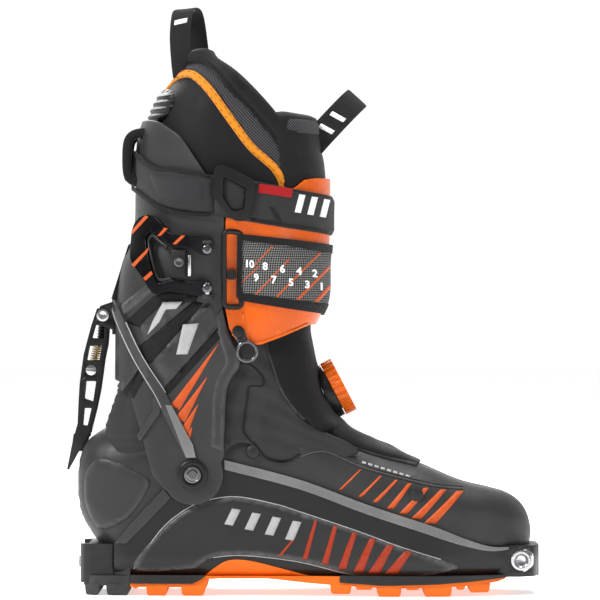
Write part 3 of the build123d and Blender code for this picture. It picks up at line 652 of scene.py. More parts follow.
def open_mesh(name, thread, gap, pitch=1.5, depth=0.25):
    """The strap's open mesh: light threads round dark holes, set like bricks."""
    g = Graph(name)
    place = g.add("UVMap", uv_map="surface").outputs["UV"]
    here = g.add("TexCoord").outputs["Object"]
    rate = math.pi / (pitch * MM)
    split = g.add("SeparateXYZ", {"Vector": place})
    along = g.maths("ADD", split.outputs["X"], split.outputs["Y"])
    back = g.maths("SUBTRACT", split.outputs["X"], split.outputs["Y"])
    a = g.maths("SINE", g.maths("MULTIPLY", along, rate))
    b = g.maths("SINE", g.maths("MULTIPLY", back, rate))
    cells = g.maths("MULTIPLY", a, b)
    fibre = g.noise(here, 3800.0, 3.0)
    colour = g.mixed(g.span(cells, -0.12, 0.2, 0, 1), linear(gap), linear(thread))
    g.set(Base_Color=colour, Roughness=g.span(fibre, 0.3, 0.7, 0.7, 0.9), Specular_IOR_Level=0.35)
    g.bumped([(cells, depth), (fibre, 0.05)])
    return g.material


SHELL = moulded("shell_grained", "2d2d2d", 0.44, 0.45, 0.06)
CUFF = moulded("cuff_grained", "2e2e2e", 0.4, 0.45, 0.06)
RIB = moulded("rib_moulded", "303030", 0.34, 0.5, 0.03, wear="565656", worn=0.3)
FRAME = moulded("frame_composite", "171717", 0.36, 0.6, 0.03, wear="4c4c4c", worn=0.25)
PANEL = moulded("frame_panel", "222222", 0.4, 0.6, 0.03, wear="8a8a8a", worn=0.35)
# Light grey for the frame's rail: painted highlight of a chamfered edge catching the light.
RAIL_HIGHLIGHT_GREY = moulded("rail_painted_highlight", "676767", 0.42, 0.5, 0.03, wear="a8a8a8", worn=0.4)
DARK = moulded("dark_moulded", "1b1b1b", 0.5, 0.5, 0.04, wear="5a5a5a")
BLACK = moulded("black_moulded", "0d0d0d", 0.38, 0.4, 0.02, wear="2a2a2a", worn=0.2)
# Near black: painted shade in the cuff's recesses, and the real dark seams of the soft ankle panel.
SHADE_AND_SEAM_BLACK = moulded("recess_black", "060606", 0.7, 0.4, 0.02, wear="121212", worn=0.1)
RIB_LIGHT = moulded("rib_light", "6a6a6a", 0.36, 0.5, 0.03, wear="a0a0a0", worn=0.45)
# Light grey for thin lines along rib and panel edges: painted highlights where the edges catch the light.
PAINTED_EDGE_HIGHLIGHT = moulded("painted_edge_highlight", "9a9a9a", 0.35, 0.5, 0.01, wear="c8c8c8")
ORANGE = moulded("orange_shell", "da5a00", 0.28, 0.5, 0.025, uneven=0.06, wear="f08020", worn=0.3,
                 specular=0.3)
SOLE = moulded("sole_rubber", "e46400", 0.6, 0.4, 0.07, uneven=0.07, wear="ff8a30")
HEEL_GREY = moulded("heel_rubber_grey", "262626", 0.68, 0.4, 0.08)
STRIPE = moulded("stripe_orange", "bc4600", 0.45, 0.5, 0.02, uneven=0.04, wear="ff8a50", worn=0.1)
STRIPE_DEEP = moulded("stripe_deep", "922400", 0.42, 0.5, 0.02, uneven=0.05, wear="e86a40", worn=0.1)
MARK = moulded("mark_light", "a2a2a2", 0.5, 0.5, 0.02, uneven=0.03, wear="e8e8e8", worn=0.1)
PAINT_WHITE = moulded("print_white", "f2f2f2", 0.6, 0.5, 0.02, uneven=0.02, wear="ffffff", worn=0.0)
LEVER = metal("lever_anodised", "242426", 0.3, dull="0c0c0e")
STEEL = metal("steel_bright", "c4c4c6", 0.2, dull="5a5a5c")
STEEL_DARK = metal("steel_dark", "6a6a6c", 0.25, dull="1e1e20")
BRASS = metal("spring_brass", "b59a5a", 0.3, dull="6a5630")
LINER = soft_shell("liner_smooth", "121213", 0.05, 0.6)
LINER_MESH = woven("liner_mesh", "4a4a4e", "060607", 2.1, 0.14)
GAITER = soft_shell("gaiter_softshell", "101011", 0.05, 0.75, wrinkle=0.35)
SOFT_ANKLE = soft_shell("ankle_soft", "2b2b2c", 0.05, 0.55, wrinkle=0.3)
GAITER_EDGE = moulded("gaiter_bond", "080808", 0.5, 0.5, 0.03)
PIPING = woven("piping_cloth", "f29a14", "dc7f08", 1.0, 0.1, sheen=0.15)
WEBBING = woven("webbing_dark", "262628", "0e0e0f", 1.1, 0.2)
STRAP = woven("strap_cloth", "343436", "242426", 0.8, 0.1)
STRAP_EDGE = woven("strap_binding", "131314", "080809", 0.9, 0.15)
STRAP_MESH = open_mesh("strap_mesh", "7c7c7a", "0c0c0c", 1.5)
TAG = woven("tag_red", "b80f14", "960a10", 0.6, 0.08)
BOARD = moulded("board_plastic", "6c6c6c", 0.6)
FOAM = soft_shell("footbed_foam", "26262a", 0.08, 0.9)


# ---------------------------------------------------------------- lower shell
RAIL = [(-50.1, 87.7), (-1.4, 74.9), (40.8, 59.5), (83.7, 45.4), (104.8, 37.1), (122.7, 31.7), (142, 31.5)]
SHELL_WALL = 2.6
ENTRY_Q = 0.72          # how far round the section the shell's open top begins
ENTRY_X = (-112, 12)
CHANNEL = 9.6           # half the width of the heel channel
CHANNEL_FLOOR = 66.0    # radius of its floor, about the ankle hinge


def graded(low, high, step, fine):
    """Numbers from low to high, closer together near the ends."""
    middle = list(np.arange(low + 14, high - 12, step))
    start = [low + 14 * (1 - math.cos(math.pi / 2 * k / fine)) for k in range(fine)]
    end = [high - 12 * (1 - math.sin(math.pi / 2 * k / fine)) for k in range(1, fine + 1)]
    return start + middle + [high - 12] + end


def channel_cut(point):
    """The heel's mid strip pushed in to the channel floor, so that the walk lever can swing past."""
    x, y, z = point
    across = abs(y - MID)
    if x > -110 or z < 42 or across > CHANNEL + 1.2:
        return point
    reach = math.hypot(x - PIVOT[0], z - PIVOT[1])
    if reach <= CHANNEL_FLOOR:
        return point
    share = min(1, max(0, (CHANNEL + 1.2 - across) / 1.2)) * min(1, (z - 42) / 6)
    scale = 1 + share * (CHANNEL_FLOOR / reach - 1)
    return (PIVOT[0] + (x - PIVOT[0]) * scale, y, PIVOT[1] + (z - PIVOT[1]) * scale)


def lower_shell():
    """The whole foot of the boot as one moulded wall, open above the ankle."""
    rows = graded(-146.4, 148.8, 3.0, 9)
    near = [0, 0.02, 0.045, 0.07]
    columns = near + [q for q in np.linspace(0.1, 0.9, 44)] + [0.93, 0.955, 0.98, 1.0]
    ring = columns + [-q for q in columns[-2:0:-1]]
    verts = []
    for x in rows:
        for u in ring:
            verts.append(channel_cut(foot.point(u, x)))
    count = len(ring)
    faces = []
    for i in range(len(rows) - 1):
        for k in range(count):
            j = (k + 1) % count
            q = (abs(ring[k]) + abs(ring[j])) / 2
            if q > ENTRY_Q and ENTRY_X[0] < (rows[i] + rows[i + 1]) / 2 < ENTRY_X[1]:
                continue
            faces.append((i * count + k, i * count + j, (i + 1) * count + j, (i + 1) * count + k))
    for i, x in ((0, rows[0]), (len(rows) - 1, rows[-1])):
        centre = len(verts)
        _, _, low, high, _ = foot.section(x)
        verts.append(channel_cut((x, MID, (low + high) / 2)))
        faces += [(i * count + k, i * count + (k + 1) % count, centre) for k in range(count)]
    obj = new_object("shell_body", verts, faces, SHELL)
    fix_normals(obj)
    solid = obj.modifiers.new("wall", "SOLIDIFY")
    solid.thickness = SHELL_WALL * MM
    solid.offset = -1
    done(obj, "shell", "shell_plastic", "lower_shell")


def line_on(name, form, points, width, low, high, material, closed=False, step=2.5):
    """A narrow raised line along a curve of the side view, on both sides of the boot."""
    curve = smooth(points, step, closed)
    made = []
    for side, label in ((1, "outer"), (-1, "inner")):
        ring_a, ring_b = [], []
        count = len(curve)
        for i, (x, z) in enumerate(curve):
            a = Vector(curve[max(i - 1, 0)])
            b = Vector(curve[min(i + 1, count - 1)])
            ahead = (b - a).normalized()
            across = Vector((-ahead.y, ahead.x)) * width / 2
            ring_a.append(form.place(x + across.x, z + across.y))
            ring_b.append(form.place(x - across.x, z - across.y))
        ring = [(u * side, w) for u, w in ring_a + ring_b[::-1]]
        made.append(skin(f"{name}_{label}", form, ring, low, high, material, edge=0.0, grid=3.0))
    return made


def dashes(name, start, end, count, height):
    """A row of short light dashes on the shell's outer side, where lettering would be."""
    a, b = Vector(start), Vector(end)
    ahead = (b - a).normalized()
    across = Vector((-ahead.y, ahead.x)) * height / 2
    for i in range(count):
        p = a.lerp(b, i / count)
        q = a.lerp(b, (i + 0.68) / count)
        quad = [tuple(p + across), tuple(q + across), tuple(q - across), tuple(p - across)]
        piece = skin(f"{name}_{i}", foot, side_ring(foot, quad, 1.2), 0.05, 0.3, MARK, edge=0.0, grid=1.6)
        done(piece, "shell", "shell_plastic")


def shell_details():
    """Raised heel counter, panel lines and the diagonal orange bars on the toe."""
    dashes("toe_dash", (38.4, 86.2), (70.4, 76.4), 8, 1.3)
    counter = [(-131, 88.6), (-124, 88.4), (-115, 84.9), (-104, 79), (-97.5, 74), (-100, 66), (-105, 57.5),
               (-112, 49.5), (-121.5, 43.5), (-130, 42), (-137, 50), (-140.5, 60), (-141.2, 72), (-138.5, 82)]
    for side, label in ((1, "outer"), (-1, "inner")):
        ring = side_ring(foot, smooth(counter, 3, True))
        ring = ring if side > 0 else flipped(ring)
        panel = skin(f"heel_counter_{label}", foot, ring, -0.3, 1.1, SHELL, round_over=3.0, edge=0.0,
                     grid=2.2)
        done(panel, "shell", "shell_plastic")
    crest = [(-1.4, 91.1), (8.2, 94.1), (17.8, 93.4), (40.8, 83.8), (72.8, 75.2), (88.8, 71.9), (104, 70.2)]
    for piece in line_on("toe_crease", foot, crest, 0.7, -0.2, 0.35, DARK):
        done(piece, "shell", "shell_plastic")
    arris = [(-1.4, 89.6), (8.2, 92.6), (17.8, 91.9), (40.8, 82.3), (72.8, 73.7), (88.8, 70.4), (104, 68.7)]
    for piece in line_on("toe_arris", foot, arris, 1.0, -0.2, 0.5, SHELL):
        done(piece, "shell", "shell_plastic")
    bars = [((37.6, 81.6), (24.2, 68.5), 2.0), ((50.4, 77.4), (37.0, 64.0), 2.6),
            ((60.6, 74.9), (46.6, 60.8), 3.4),
            ((69.0, 72.6), (56.2, 56.6), 4.6), ((79.8, 69.8), (64.5, 53.4), 5.6),
            ((90.7, 68.6), (72.8, 50.2), 6.8),
            ((101.6, 67.4), (81.5, 47.1), 8.0)]
    slanted_bars("toe_bar", foot, bars, 0.02, 0.28, STRIPE, "shell", "sole_orange")


def slanted_bars(name, form, bars, low, high, material, body, slot, taper=0.62):
    """Diagonal bars, each from a top to a bottom point with its width at the bottom."""
    for i, (top, bottom, width) in enumerate(bars):
        for side, label in ((1, "outer"), (-1, "inner")):
            half = width / 2
            points = [(top[0] - half * taper, top[1]), (top[0] + half * taper, top[1]),
                      (bottom[0] + half, bottom[1]), (bottom[0] - half, bottom[1])]
            ring = side_ring(form, points)
            ring = ring if side > 0 else flipped(ring)
            bar = skin(f"{name}_{i}_{label}", form, ring, low, high, material, edge=0.0, grid=2.4)
            done(bar, body, slot)


# ---------------------------------------------------------------- frame under the foot
FRAME_LIFT = 2.2
BORDER = [(x, lat + FRAME_LIFT, med + FRAME_LIFT, 11.5, high + 4, min(radius, 12) + 1.5)
          for x, lat, med, low, high, radius in FOOT if x >= -121]
carrier = Form([(-123, 33, 33, 11.5, 108, 12)] + [s for s in BORDER if s[0] > -120 and s[0] <= 143], True)
ARCH = [(-108.3, 17.5), (-91.4, 41.9), (-76.6, 54.7), (-62.2, 61.4), (-42.4, 64.0), (-18.1, 59.5),
        (-1.4, 54.4),
        (35.7, 42.2), (62.2, 32.6), (88.8, 24.3), (100.3, 19.4), (93.9, 16.2), (72.8, 12.8), (51.7, 12.6),
        (30.6, 14.4), (-1.4, 22.1), (-37.3, 26.2), (-57.1, 25.0), (-66.7, 19.4), (-73, 17.2)]
ARCH_UNDER = [(-69.9, 8), (-61.0, 14.7), (-51.4, 21.6), (-42.4, 23.7), (-27.7, 21.8), (-1.4, 14.7),
              (12, 11.2),
              (26, 8)]


def frame_outline():
    """The frame's top edge from the toe to the heel."""
    lobe = [(PIVOT[0] + 21 * math.cos(math.radians(a)), PIVOT[1] + 21 * math.sin(math.radians(a)))
            for a in range(26, 200, 18)]
    return smooth(RAIL[::-1], 4) + lobe + [(-89.5, 66.5), (-106.4, 49.9), (-114.1, 41.0), (-121.1, 33.3)]


def sole_frame():
    """Stiff composite frame: the wrap round the shell, its rail, the arch panel and the heel block."""
    ring = wrapped(carrier, frame_outline() + [(-121.5, 14)])
    frame_wrap = skin("frame_wrap", carrier, ring, -1.9, 0.0, FRAME, edge=0.5, grid=4.0)
    done(frame_wrap, "shell", "frame_plastic", "sole_frame")
    top = smooth(RAIL, 4)
    under = [(x, z - 6.2 * min(1, (150 - x) / 60)) for x, z in top][::-1]
    rib = [(-121.1, 33.8), (-106.4, 50.6), (-89.1, 69), (-84.2, 63.6), (-101.6, 45.2), (-113, 33.8)]
    for side, label in ((1, "outer"), (-1, "inner")):
        rail = side_ring(carrier, top + under)
        rail = rail if side > 0 else flipped(rail)
        # The rail band is coloured light grey as a painted highlight.
        piece = skin(f"frame_rail_{label}", carrier, rail, -0.3, 1.1, RAIL_HIGHLIGHT_GREY, edge=0.35)
        done(piece, "shell", "frame_plastic")
        strut = side_ring(carrier, rib)
        strut = strut if side > 0 else flipped(strut)
        piece = skin(f"frame_strut_{label}", carrier, strut, -0.3, 1.1, RIB, edge=0.45)
        done(piece, "shell", "frame_plastic")
        arch = side_ring(carrier, smooth(ARCH, 4, True))
        arch = arch if side > 0 else flipped(arch)
        piece = skin(f"arch_panel_{label}", carrier, arch, -0.3, 1.3, PANEL, round_over=4.0, edge=0.0,
                     grid=2.0)
        done(piece, "shell", "frame_plastic")
    # Thin light lines along the arch panel's edges: painted highlights.
    for piece in line_on("arch_edge_highlight", carrier, ARCH[:10], 0.55, -0.1, 0.5, PAINTED_EDGE_HIGHLIGHT):
        done(piece, "shell", "frame_plastic")
    for piece in line_on("arch_low_edge_highlight", carrier, ARCH[12:18], 0.5, -0.1, 0.4, PAINTED_EDGE_HIGHLIGHT):
        done(piece, "shell", "frame_plastic")
    bars = [((-5.3, 37.1), (-14.2, 26.2), 2.4), ((8.8, 49.0), (1.8, 24.2), 3.2),
            ((21.3, 45.6), (14.6, 21.5), 4.2),
            ((33.6, 41.4), (25.6, 18.6), 5.2), ((45.2, 37.6), (36.0, 16.8), 6.4),
            ((56.5, 33.4), (46.0, 16.2), 7.4),
            ((68.0, 29.6), (57.0, 16), 8.2)]
    slanted_bars("arch_bar", carrier, bars, 1.2, 1.52, STRIPE_DEEP, "shell", "sole_orange")
    marks = [(-48 + 13 * k, 56.5 - 2.6 * k, 11 + 0.6 * k) for k in range(4)]
    for i, (x, z, tall) in enumerate(marks):
        for side, label in ((1, "outer"), (-1, "inner")):
            points = [(x + 3, z), (x + 8.5, z - 0.9), (x + 3.5, z - tall), (x - 2, z - tall + 0.9)]
            ring = side_ring(carrier, points)
            ring = ring if side > 0 else flipped(ring)
            done(skin(f"arch_mark_{i}_{label}", carrier, ring, 1.2, 1.52, MARK, edge=0.0, grid=2.6), "shell",
                 "frame_plastic")
    heel_block()


def plan_width(x, side):
    outer, inner, *_ = foot.section(max(x, -146))
    return outer if side == OUTER else inner


def plan_outline(low_x, high_x, grow, step=5.0):
    """The sole seen from above between two x, grown sideways."""
    xs = list(np.arange(low_x, high_x, step)) + [high_x]
    outer = [(x, -sole_half(x, OUTER) - grow) for x in xs]
    inner = [(x, sole_half(x, INNER) + grow) for x in xs]
    return outer + inner[::-1]


def sole_half(x, side):
    """Half the sole's width: the foot's width, rounded in at the heel and the toe."""
    half = plan_width(min(max(x, -118), 135), side)
    if x < -118:
        half = 30 + 4 * (1 - ((-118 - x) / 25) ** 2) - 8 * max(0, (-132 - x) / 11) ** 2
    if x > 135:
        half -= (x - 135) * 1.2
    return half


def heel_block():
    """The block at the heel that holds the binding insert."""
    outline = [(-121, 30), (-137, 30), (-141, 27.5), (-143.2, 23.5), (-143.2, 22.2), (-138, 22.2), (-138, 0)]
    low = [(x, -y) for x, y in outline]
    whole = rounded_corners(low + outline[-2::-1], 2.0)
    whole = [(x, y) for x, y in whole]
    block = prism("heel_block", whole, 7.9, 33.2, FRAME, edge=1.1, axis="z")
    done(block, "shell", "frame_plastic")
    skirt = [(-121.2, 30.2), (-121.2, -30.2), (-110.5, -35.8), (-110.5, 35.8)]
    done(prism("heel_plate", skirt, 8.1, 33.0, FRAME, edge=0.8, axis="z"), "shell", "frame_plastic")


# ---------------------------------------------------------------- soles
def lug(name, x0, x1, side, top, bottom, material, slot, lean=1.5, inner=7.5):
    """One tread block from the groove to the sole's edge, narrower at the ground and set back on the
    outside.
    """
    mid = (x0 + x1) / 2
    verts = []
    for z, shrink, draw in ((top, 0, 0), (bottom + 1.2, lean * 0.5, 0.8), (bottom, lean * 0.5 + 0.9, 1.9)):
        for x in (x0 + shrink, mid, x1 - shrink):
            verts.append((x, side * inner * (1 if z == top else 1.08) + MID, z))
        for x in (x1 - shrink, mid, x0 + shrink):
            half = sole_half(x, side) + 0.8 - draw
            verts.append((x, side * half + MID, z))
    faces = [tuple(range(6)), tuple(range(12, 18))[::-1]]
    for level in (0, 6):
        faces += [(level + i, level + (i + 1) % 6, level + 6 + (i + 1) % 6, level + 6 + i) for i in range(6)]
    obj = soften(fix_normals(new_object(name, verts, faces, material)), 0.55)
    done(obj, "shell", slot)


def soles():
    """Heel pad, orange heel and orange forefoot with their tread, and the orange sweep under the arch."""
    rear = prism("heel_pad", plan_outline(-141, -110.8, 0.2), 6.4, 12.9, HEEL_GREY, edge=0.6, axis="z")
    done(rear, "shell", "heel_rubber", "heel_lug_pad")
    heel = prism("sole_heel", plan_outline(-110.6, -61, 0.6), 5.6, 12.9, SOLE, edge=0.6, axis="z")
    done(heel, "shell", "sole_orange", "outsole_heel")
    profile = [(-62, 12.9), (134, 12.9), (128, 9.5), (112, 7.2), (90, 6), (60, 5.6), (30, 6.6), (4, 8.6),
               (-20, 11.2),
               (-40, 12.2), (-58, 11)]
    verts, faces = [], []
    xs = list(np.arange(-62, 134, 4.0)) + [134]
    floor = np.array(sorted((x, z) for x, z in profile[1:]))
    for x in xs:
        z = float(np.interp(x, floor[:, 0], floor[:, 1]))
        outer, inner = sole_half(x, OUTER) + 0.6, sole_half(x, INNER) + 0.6
        verts += [(x, -outer + MID, 12.95), (x, -outer + MID, z), (x, inner + MID, z),
                  (x, inner + MID, 12.95)]
    for i in range(len(xs) - 1):
        faces += [(4 * i + k, 4 * i + (k + 1) % 4, 4 * i + 4 + (k + 1) % 4, 4 * i + 4 + k) for k in range(4)]
    faces += [(0, 1, 2, 3), tuple(4 * (len(xs) - 1) + k for k in range(4))[::-1]]
    fore = soften(fix_normals(new_object("sole_fore", verts, faces, SOLE)), 0.5)
    done(fore, "shell", "sole_orange", "outsole_forefoot")
    for side, label in ((OUTER, "outer"), (INNER, "inner")):
        for i, (a, b) in enumerate(((-140.5, -130.2), (-126.4, -111.2))):
            lug(f"heel_lug_{i}_{label}", a, b, side, 7.5, 0.1, HEEL_GREY, "heel_rubber", inner=6)
        for i, (a, b) in enumerate(((-110.2, -104.4), (-100.6, -86.5), (-78, -62.4))):
            lug(f"orange_heel_lug_{i}_{label}", a, b, side, 7.5, 0.1 if i else 4.6, SOLE, "sole_orange",
                inner=6)
        for i, (a, b) in enumerate(((17.8, 31.8), (47.8, 63.8), (77.6, 96.2), (106.7, 121))):
            lug(f"fore_lug_{i}_{label}", a, b, side, 8.2, (1.6, 0.1, 0.1, 2.4)[i], SOLE, "sole_orange")
        for i, (a, b) in enumerate(((33.6, 45.8), (65.6, 75.8), (98, 105))):
            lug(f"fore_rib_{i}_{label}", a, b, side, 7.4, 4.4, SOLE, "sole_orange", inner=14)
    chain = smooth(ARCH_UNDER, 3)
    ring = wrapped(carrier, chain)
    done(skin("arch_sweep", carrier, ring, -0.2, 1.0, SOLE, edge=0.4), "shell", "sole_orange")
    rim()


def rim():
    """The frame's lower edge, standing over the rubber, on both sides."""
    line = np.array([(-110.5, 7.9), (-69.9, 7.9), (-62.5, 12.4)])
    front = np.array([(24, 9), (51.7, 7.2), (83.4, 8.0), (106.7, 9.4), (131.0, 11.6)])
    for side, label in ((OUTER, "outer"), (INNER, "inner")):
        for part, (low, tops) in enumerate(((line, (13.6, 13.6)), (front, (13.6, 13.8)))):
            xs = list(np.arange(low[0][0], low[-1][0], 4.0)) + [low[-1][0]]
            verts, faces = [], []
            for x in xs:
                z = float(np.interp(x, low[:, 0], low[:, 1]))
                half = sole_half(x, side)
                for y, level in ((half + 0.7, z), (half + 2.1, z), (half + 2.1, tops[0]),
                                 (half + 0.7, tops[1])):
                    verts.append((x, side * y + MID, level))
            for i in range(len(xs) - 1):
                faces += [(4 * i + k, 4 * i + (k + 1) % 4, 4 * i + 4 + (k + 1) % 4, 4 * i + 4 + k)
                          for k in range(4)]
            faces += [(0, 1, 2, 3), tuple(4 * (len(xs) - 1) + k for k in range(4))[::-1]]
            obj = soften(fix_normals(new_object(f"frame_rim_{part}_{label}", verts, faces, FRAME)), 0.4)
            done(obj, "shell", "frame_plastic")


# ---------------------------------------------------------------- cuff
def arc(centre, radius, start, end, step=14):
    """Points of an arc in the side view, angles in degrees from +X towards +Z."""
    count = max(2, int(abs(end - start) / step))
    return [(centre[0] + radius * math.cos(math.radians(start + (end - start) * k / count)),
             centre[1] + radius * math.sin(math.radians(start + (end - start) * k / count)))
            for k in range(count + 1)]


CUFF_TOP = [(-104.1, 306.6), (-101.3, 306.8), (-93.9, 305.3), (-86.6, 300.8), (-78.2, 294.4), (-68.6, 281.0),
            (-61.6, 270.7), (-53, 258)]
CUFF_FRONT = [(-50.5, 248), (-49.8, 238), (-51.4, 190), (-47.5, 170.9), (-39.8, 150.4), (-46.2, 138.9),
              (-48.8, 129.3), (-49.6, 110), (-50.2, 88)]
CUFF_REAR = [(-88.4, 69), (-96, 78), (-102.1, 99.8), (-110.5, 129), (-114.5, 136), (-122, 138.9)]


def on_sides(name, form, points, low, high, material, body, slot, nodes=(), curve=None, **settings):
    """The same raised patch on both sides of the boot."""
    outline = smooth(points, curve, True) if curve else points
    for side, label in ((1, "outer"), (-1, "inner")):
        ring = side_ring(form, outline)
        ring = ring if side > 0 else flipped(ring)
        piece = skin(f"{name}_{label}", form, ring, low, high, material, **settings)
        done(piece, body, slot, *(nodes if side > 0 else ()))


def cuff_shell():
    chain = smooth(CUFF_TOP, 3)[:-1] + smooth(CUFF_FRONT, 4)[:-1] + arc(PIVOT, 19.6, 22, -148) + CUFF_REAR
    ring = wrapped(leg, chain)
    done(skin("cuff_body", leg, ring, -2.5, 0.0, CUFF, edge=0.6, grid=4.0), "cuff", "shell_plastic",
         "cuff_shell")
    front = smooth([(-51.3, 186), (-47.9, 171.2), (-40.4, 150.6), (-46.9, 138.9), (-49.5, 129.3),
                    (-50.2, 92)], 4)
    inner = smooth([(-58.6, 96), (-57.6, 128), (-54.6, 141), (-49.5, 151), (-54.4, 168), (-56, 180)], 4)
    on_sides("cuff_front_edge", leg, front + inner, -0.2, 0.55, CUFF, "cuff", "shell_plastic", round_over=1.8,
             edge=0.0, grid=1.8)


def skeleton():
    """The raised ribs and facets on both sides of the cuff, with painted shade between them and painted
    highlights on the rib.
    """
    rib = [(-122.4, 192.5), (-119.5, 190), (-112.6, 177), (-101.5, 153), (-87.6, 130.5), (-83.2, 122),
           (-70.4, 97),
           (-68.6, 89.2), (-74.6, 89), (-91, 121), (-95.2, 130), (-107.6, 152), (-118.6, 176), (-124, 189)]
    on_sides("long_rib", leg, rib, -0.2, 2.5, RIB, "cuff", "shell_plastic",
             nodes=("cuff_brace_lateral", "cuff_brace_medial"), edge=0.9)
    facet_a = [(-104.6, 173.6), (-92.2, 185.6), (-84, 190.4), (-70.4, 188.8), (-101.4, 162.6)]
    on_sides("facet_upper", leg, facet_a, -0.2, 2.3, CUFF, "cuff", "shell_plastic", round_over=2.4, edge=0.3)
    facet_b = [(-96.6, 150.4), (-66, 184.6), (-58.9, 190), (-53.2, 173.4), (-87.5, 134.8)]
    on_sides("facet_lower", leg, facet_b, -0.2, 2.3, CUFF, "cuff", "shell_plastic", round_over=2.4, edge=0.3)
    shade_a = [(-114.2, 176), (-95.4, 192.6), (-84.6, 196.4), (-66.6, 193), (-68.2, 188.6), (-84, 189.6),
               (-91.6, 185), (-104.6, 172.8)]
    shade_b = [(-104.6, 160.5), (-101.6, 163.4), (-69.6, 189.6), (-63.4, 188.2), (-96.2, 150), (-99.6, 149.6)]
    shade_c = [(-89.6, 129.6), (-87.8, 135.4), (-53.6, 174), (-51.2, 171.6), (-51.6, 167), (-85.4, 130)]
    # Flat black patches between the facets: painted shade where the recesses fall dark.
    for i, shade in enumerate((shade_a, shade_b, shade_c)):
        on_sides(f"recess_{i}", leg, shade, 0.02, 0.25, SHADE_AND_SEAM_BLACK, "cuff", "shell_plastic", edge=0.0, grid=2.6)
    brow = [(-115.5, 178.6), (-96, 195.6), (-84.4, 199.4), (-66, 195.6), (-60.4, 196.6), (-62, 201),
            (-86, 204.6),
            (-99, 201.6), (-118, 186)]
    on_sides("brow", leg, brow, -0.2, 1.4, CUFF, "cuff", "shell_plastic", round_over=2.2, edge=0.0)
    wedge = [(-87.6, 123), (-83.6, 122.6), (-70, 97.6), (-68.2, 89.4), (-74.4, 89.2)]
    on_sides("rib_wedge", leg, wedge, 2.3, 2.75, RIB_LIGHT, "cuff", "shell_plastic", edge=0.2)
    leg_rib = [(-92.6, 131.4), (-95.8, 127), (-95.2, 119.6), (-105.6, 103.4), (-103.4, 99.6), (-91.6, 117),
               (-89.6, 124)]
    on_sides("rib_leg", leg, leg_rib, -0.2, 2.0, RIB, "cuff", "shell_plastic", edge=0.7)
    spur = [(-118.4, 134.6), (-107.6, 151.6), (-101.6, 150), (-114.6, 131.6)]
    on_sides("rib_spur", leg, spur, -0.2, 1.7, RIB, "cuff", "shell_plastic", edge=0.6)
    # Flat black patch below the spur: painted shade of its recess.
    shade_d = [(-113.2, 131), (-104.4, 146.4), (-100.6, 141), (-108.4, 127)]
    on_sides("recess_3", leg, shade_d, 0.02, 0.25, SHADE_AND_SEAM_BLACK, "cuff", "shell_plastic", edge=0.0, grid=2.6)
    # Thin light lines along the rib's edges: painted highlights.
    for number, line in enumerate((
            [(-123, 190.6), (-118, 176.6), (-107, 152.6), (-94.6, 130.6), (-90.4, 121.4)],
            [(-111.6, 176), (-101, 153.4), (-87.4, 131)],
            [(-86.4, 122.6), (-73.4, 97), (-72.6, 90.4)])):
        for piece in line_on(f"rib_light_{number}", leg, line, 0.5, 2.3, 2.72, PAINTED_EDGE_HIGHLIGHT):
            done(piece, "cuff", "shell_plastic")


def cuff_graphics():
    """Needle-shaped orange bars and plain light marks on the cuff's sides."""
    needles = [((-53.9, 161.9), (-82.6, 121.2), 6.4), ((-61.0, 140.8), (-79.4, 113.2), 6.8),
               ((-66.7, 123.5), (-76.4, 106.2), 5.0), ((-70.6, 109), (-73.4, 102.2), 2.6)]
    for i, (tip, root, width) in enumerate(needles):
        points = [(tip[0] - 0.2, tip[1]), (tip[0] + 0.2, tip[1]), (root[0] + width * 0.62, root[1] - 1.4),
                  (root[0] - width * 0.3, root[1] + 1.6)]
        on_sides(f"cuff_bar_{i}", leg, points, 0.02, 0.3, STRIPE, "cuff", "sole_orange", edge=0.0, grid=2.4)
    chevrons = [[(-98.3, 168), (-95, 176.6), (-88.6, 189), (-76.6, 189.2), (-80.6, 184.6), (-86.8, 184.2),
                 (-91, 176)],
                [(-76.4, 174.6), (-66.2, 175.4), (-73.4, 155.6), (-80.6, 155.4)]]
    for i, points in enumerate(chevrons):
        on_sides(f"cuff_mark_{i}", leg, points, 2.26, 2.55, MARK, "cuff", "shell_plastic", edge=0.0, grid=2.4)


def achilles():
    """The soft dark insert behind the ankle, ribbed across, between the cuff and the heel."""
    form = Form([(74, -128.5, -40, 31, 18), (92, -128.5, -40, 34, 20), (100, -128.2, -40, 35.5, 22),
                 (112, -126.9, -40, 36.5, 24),
                 (121, -124.2, -40, 37.4, 26), (132, -120.6, -40, 38, 27), (140, -118.6, -40, 38.4, 28)],
                 False)
    chain = [(-127, 140), (-96, 140), (-86, 120), (-80, 100), (-80, 78), (-127, 78)]
    def pleats(u, w):
        """Cross pleats, and the channel down the middle that the walk lever swings through."""
        back = form.point(0.0, w)[0]
        floor = PIVOT[0] - math.sqrt(max(1.0, (CHANNEL_FLOOR - 1) ** 2 - (w - PIVOT[1]) ** 2))
        deep = max(0.0, floor - back) * math.exp(-(u / 0.11) ** 8)
        return 0.35 * math.sin(w * 1.1) - deep

    piece = skin("achilles_soft", form, wrapped(form, chain), -19.0, 0.0, SOFT_ANKLE, grid=2.4, edge=0.4,
                 relief=pleats)
    done(piece, "shell", "softshell", "achilles_cover")


# ---------------------------------------------------------------- tongue and straps
TONGUE = [(16, 269), (9.8, 268.8), (3.0, 267.5), (-3.4, 262.4), (-12, 259), (-46.0, 261), (-49, 240),
          (-50.3, 190),
          (-46.6, 171.8), (-42.4, 165), (-36, 162.4), (-27, 161.5), (-12, 167), (4.2, 174.2), (12, 175)]


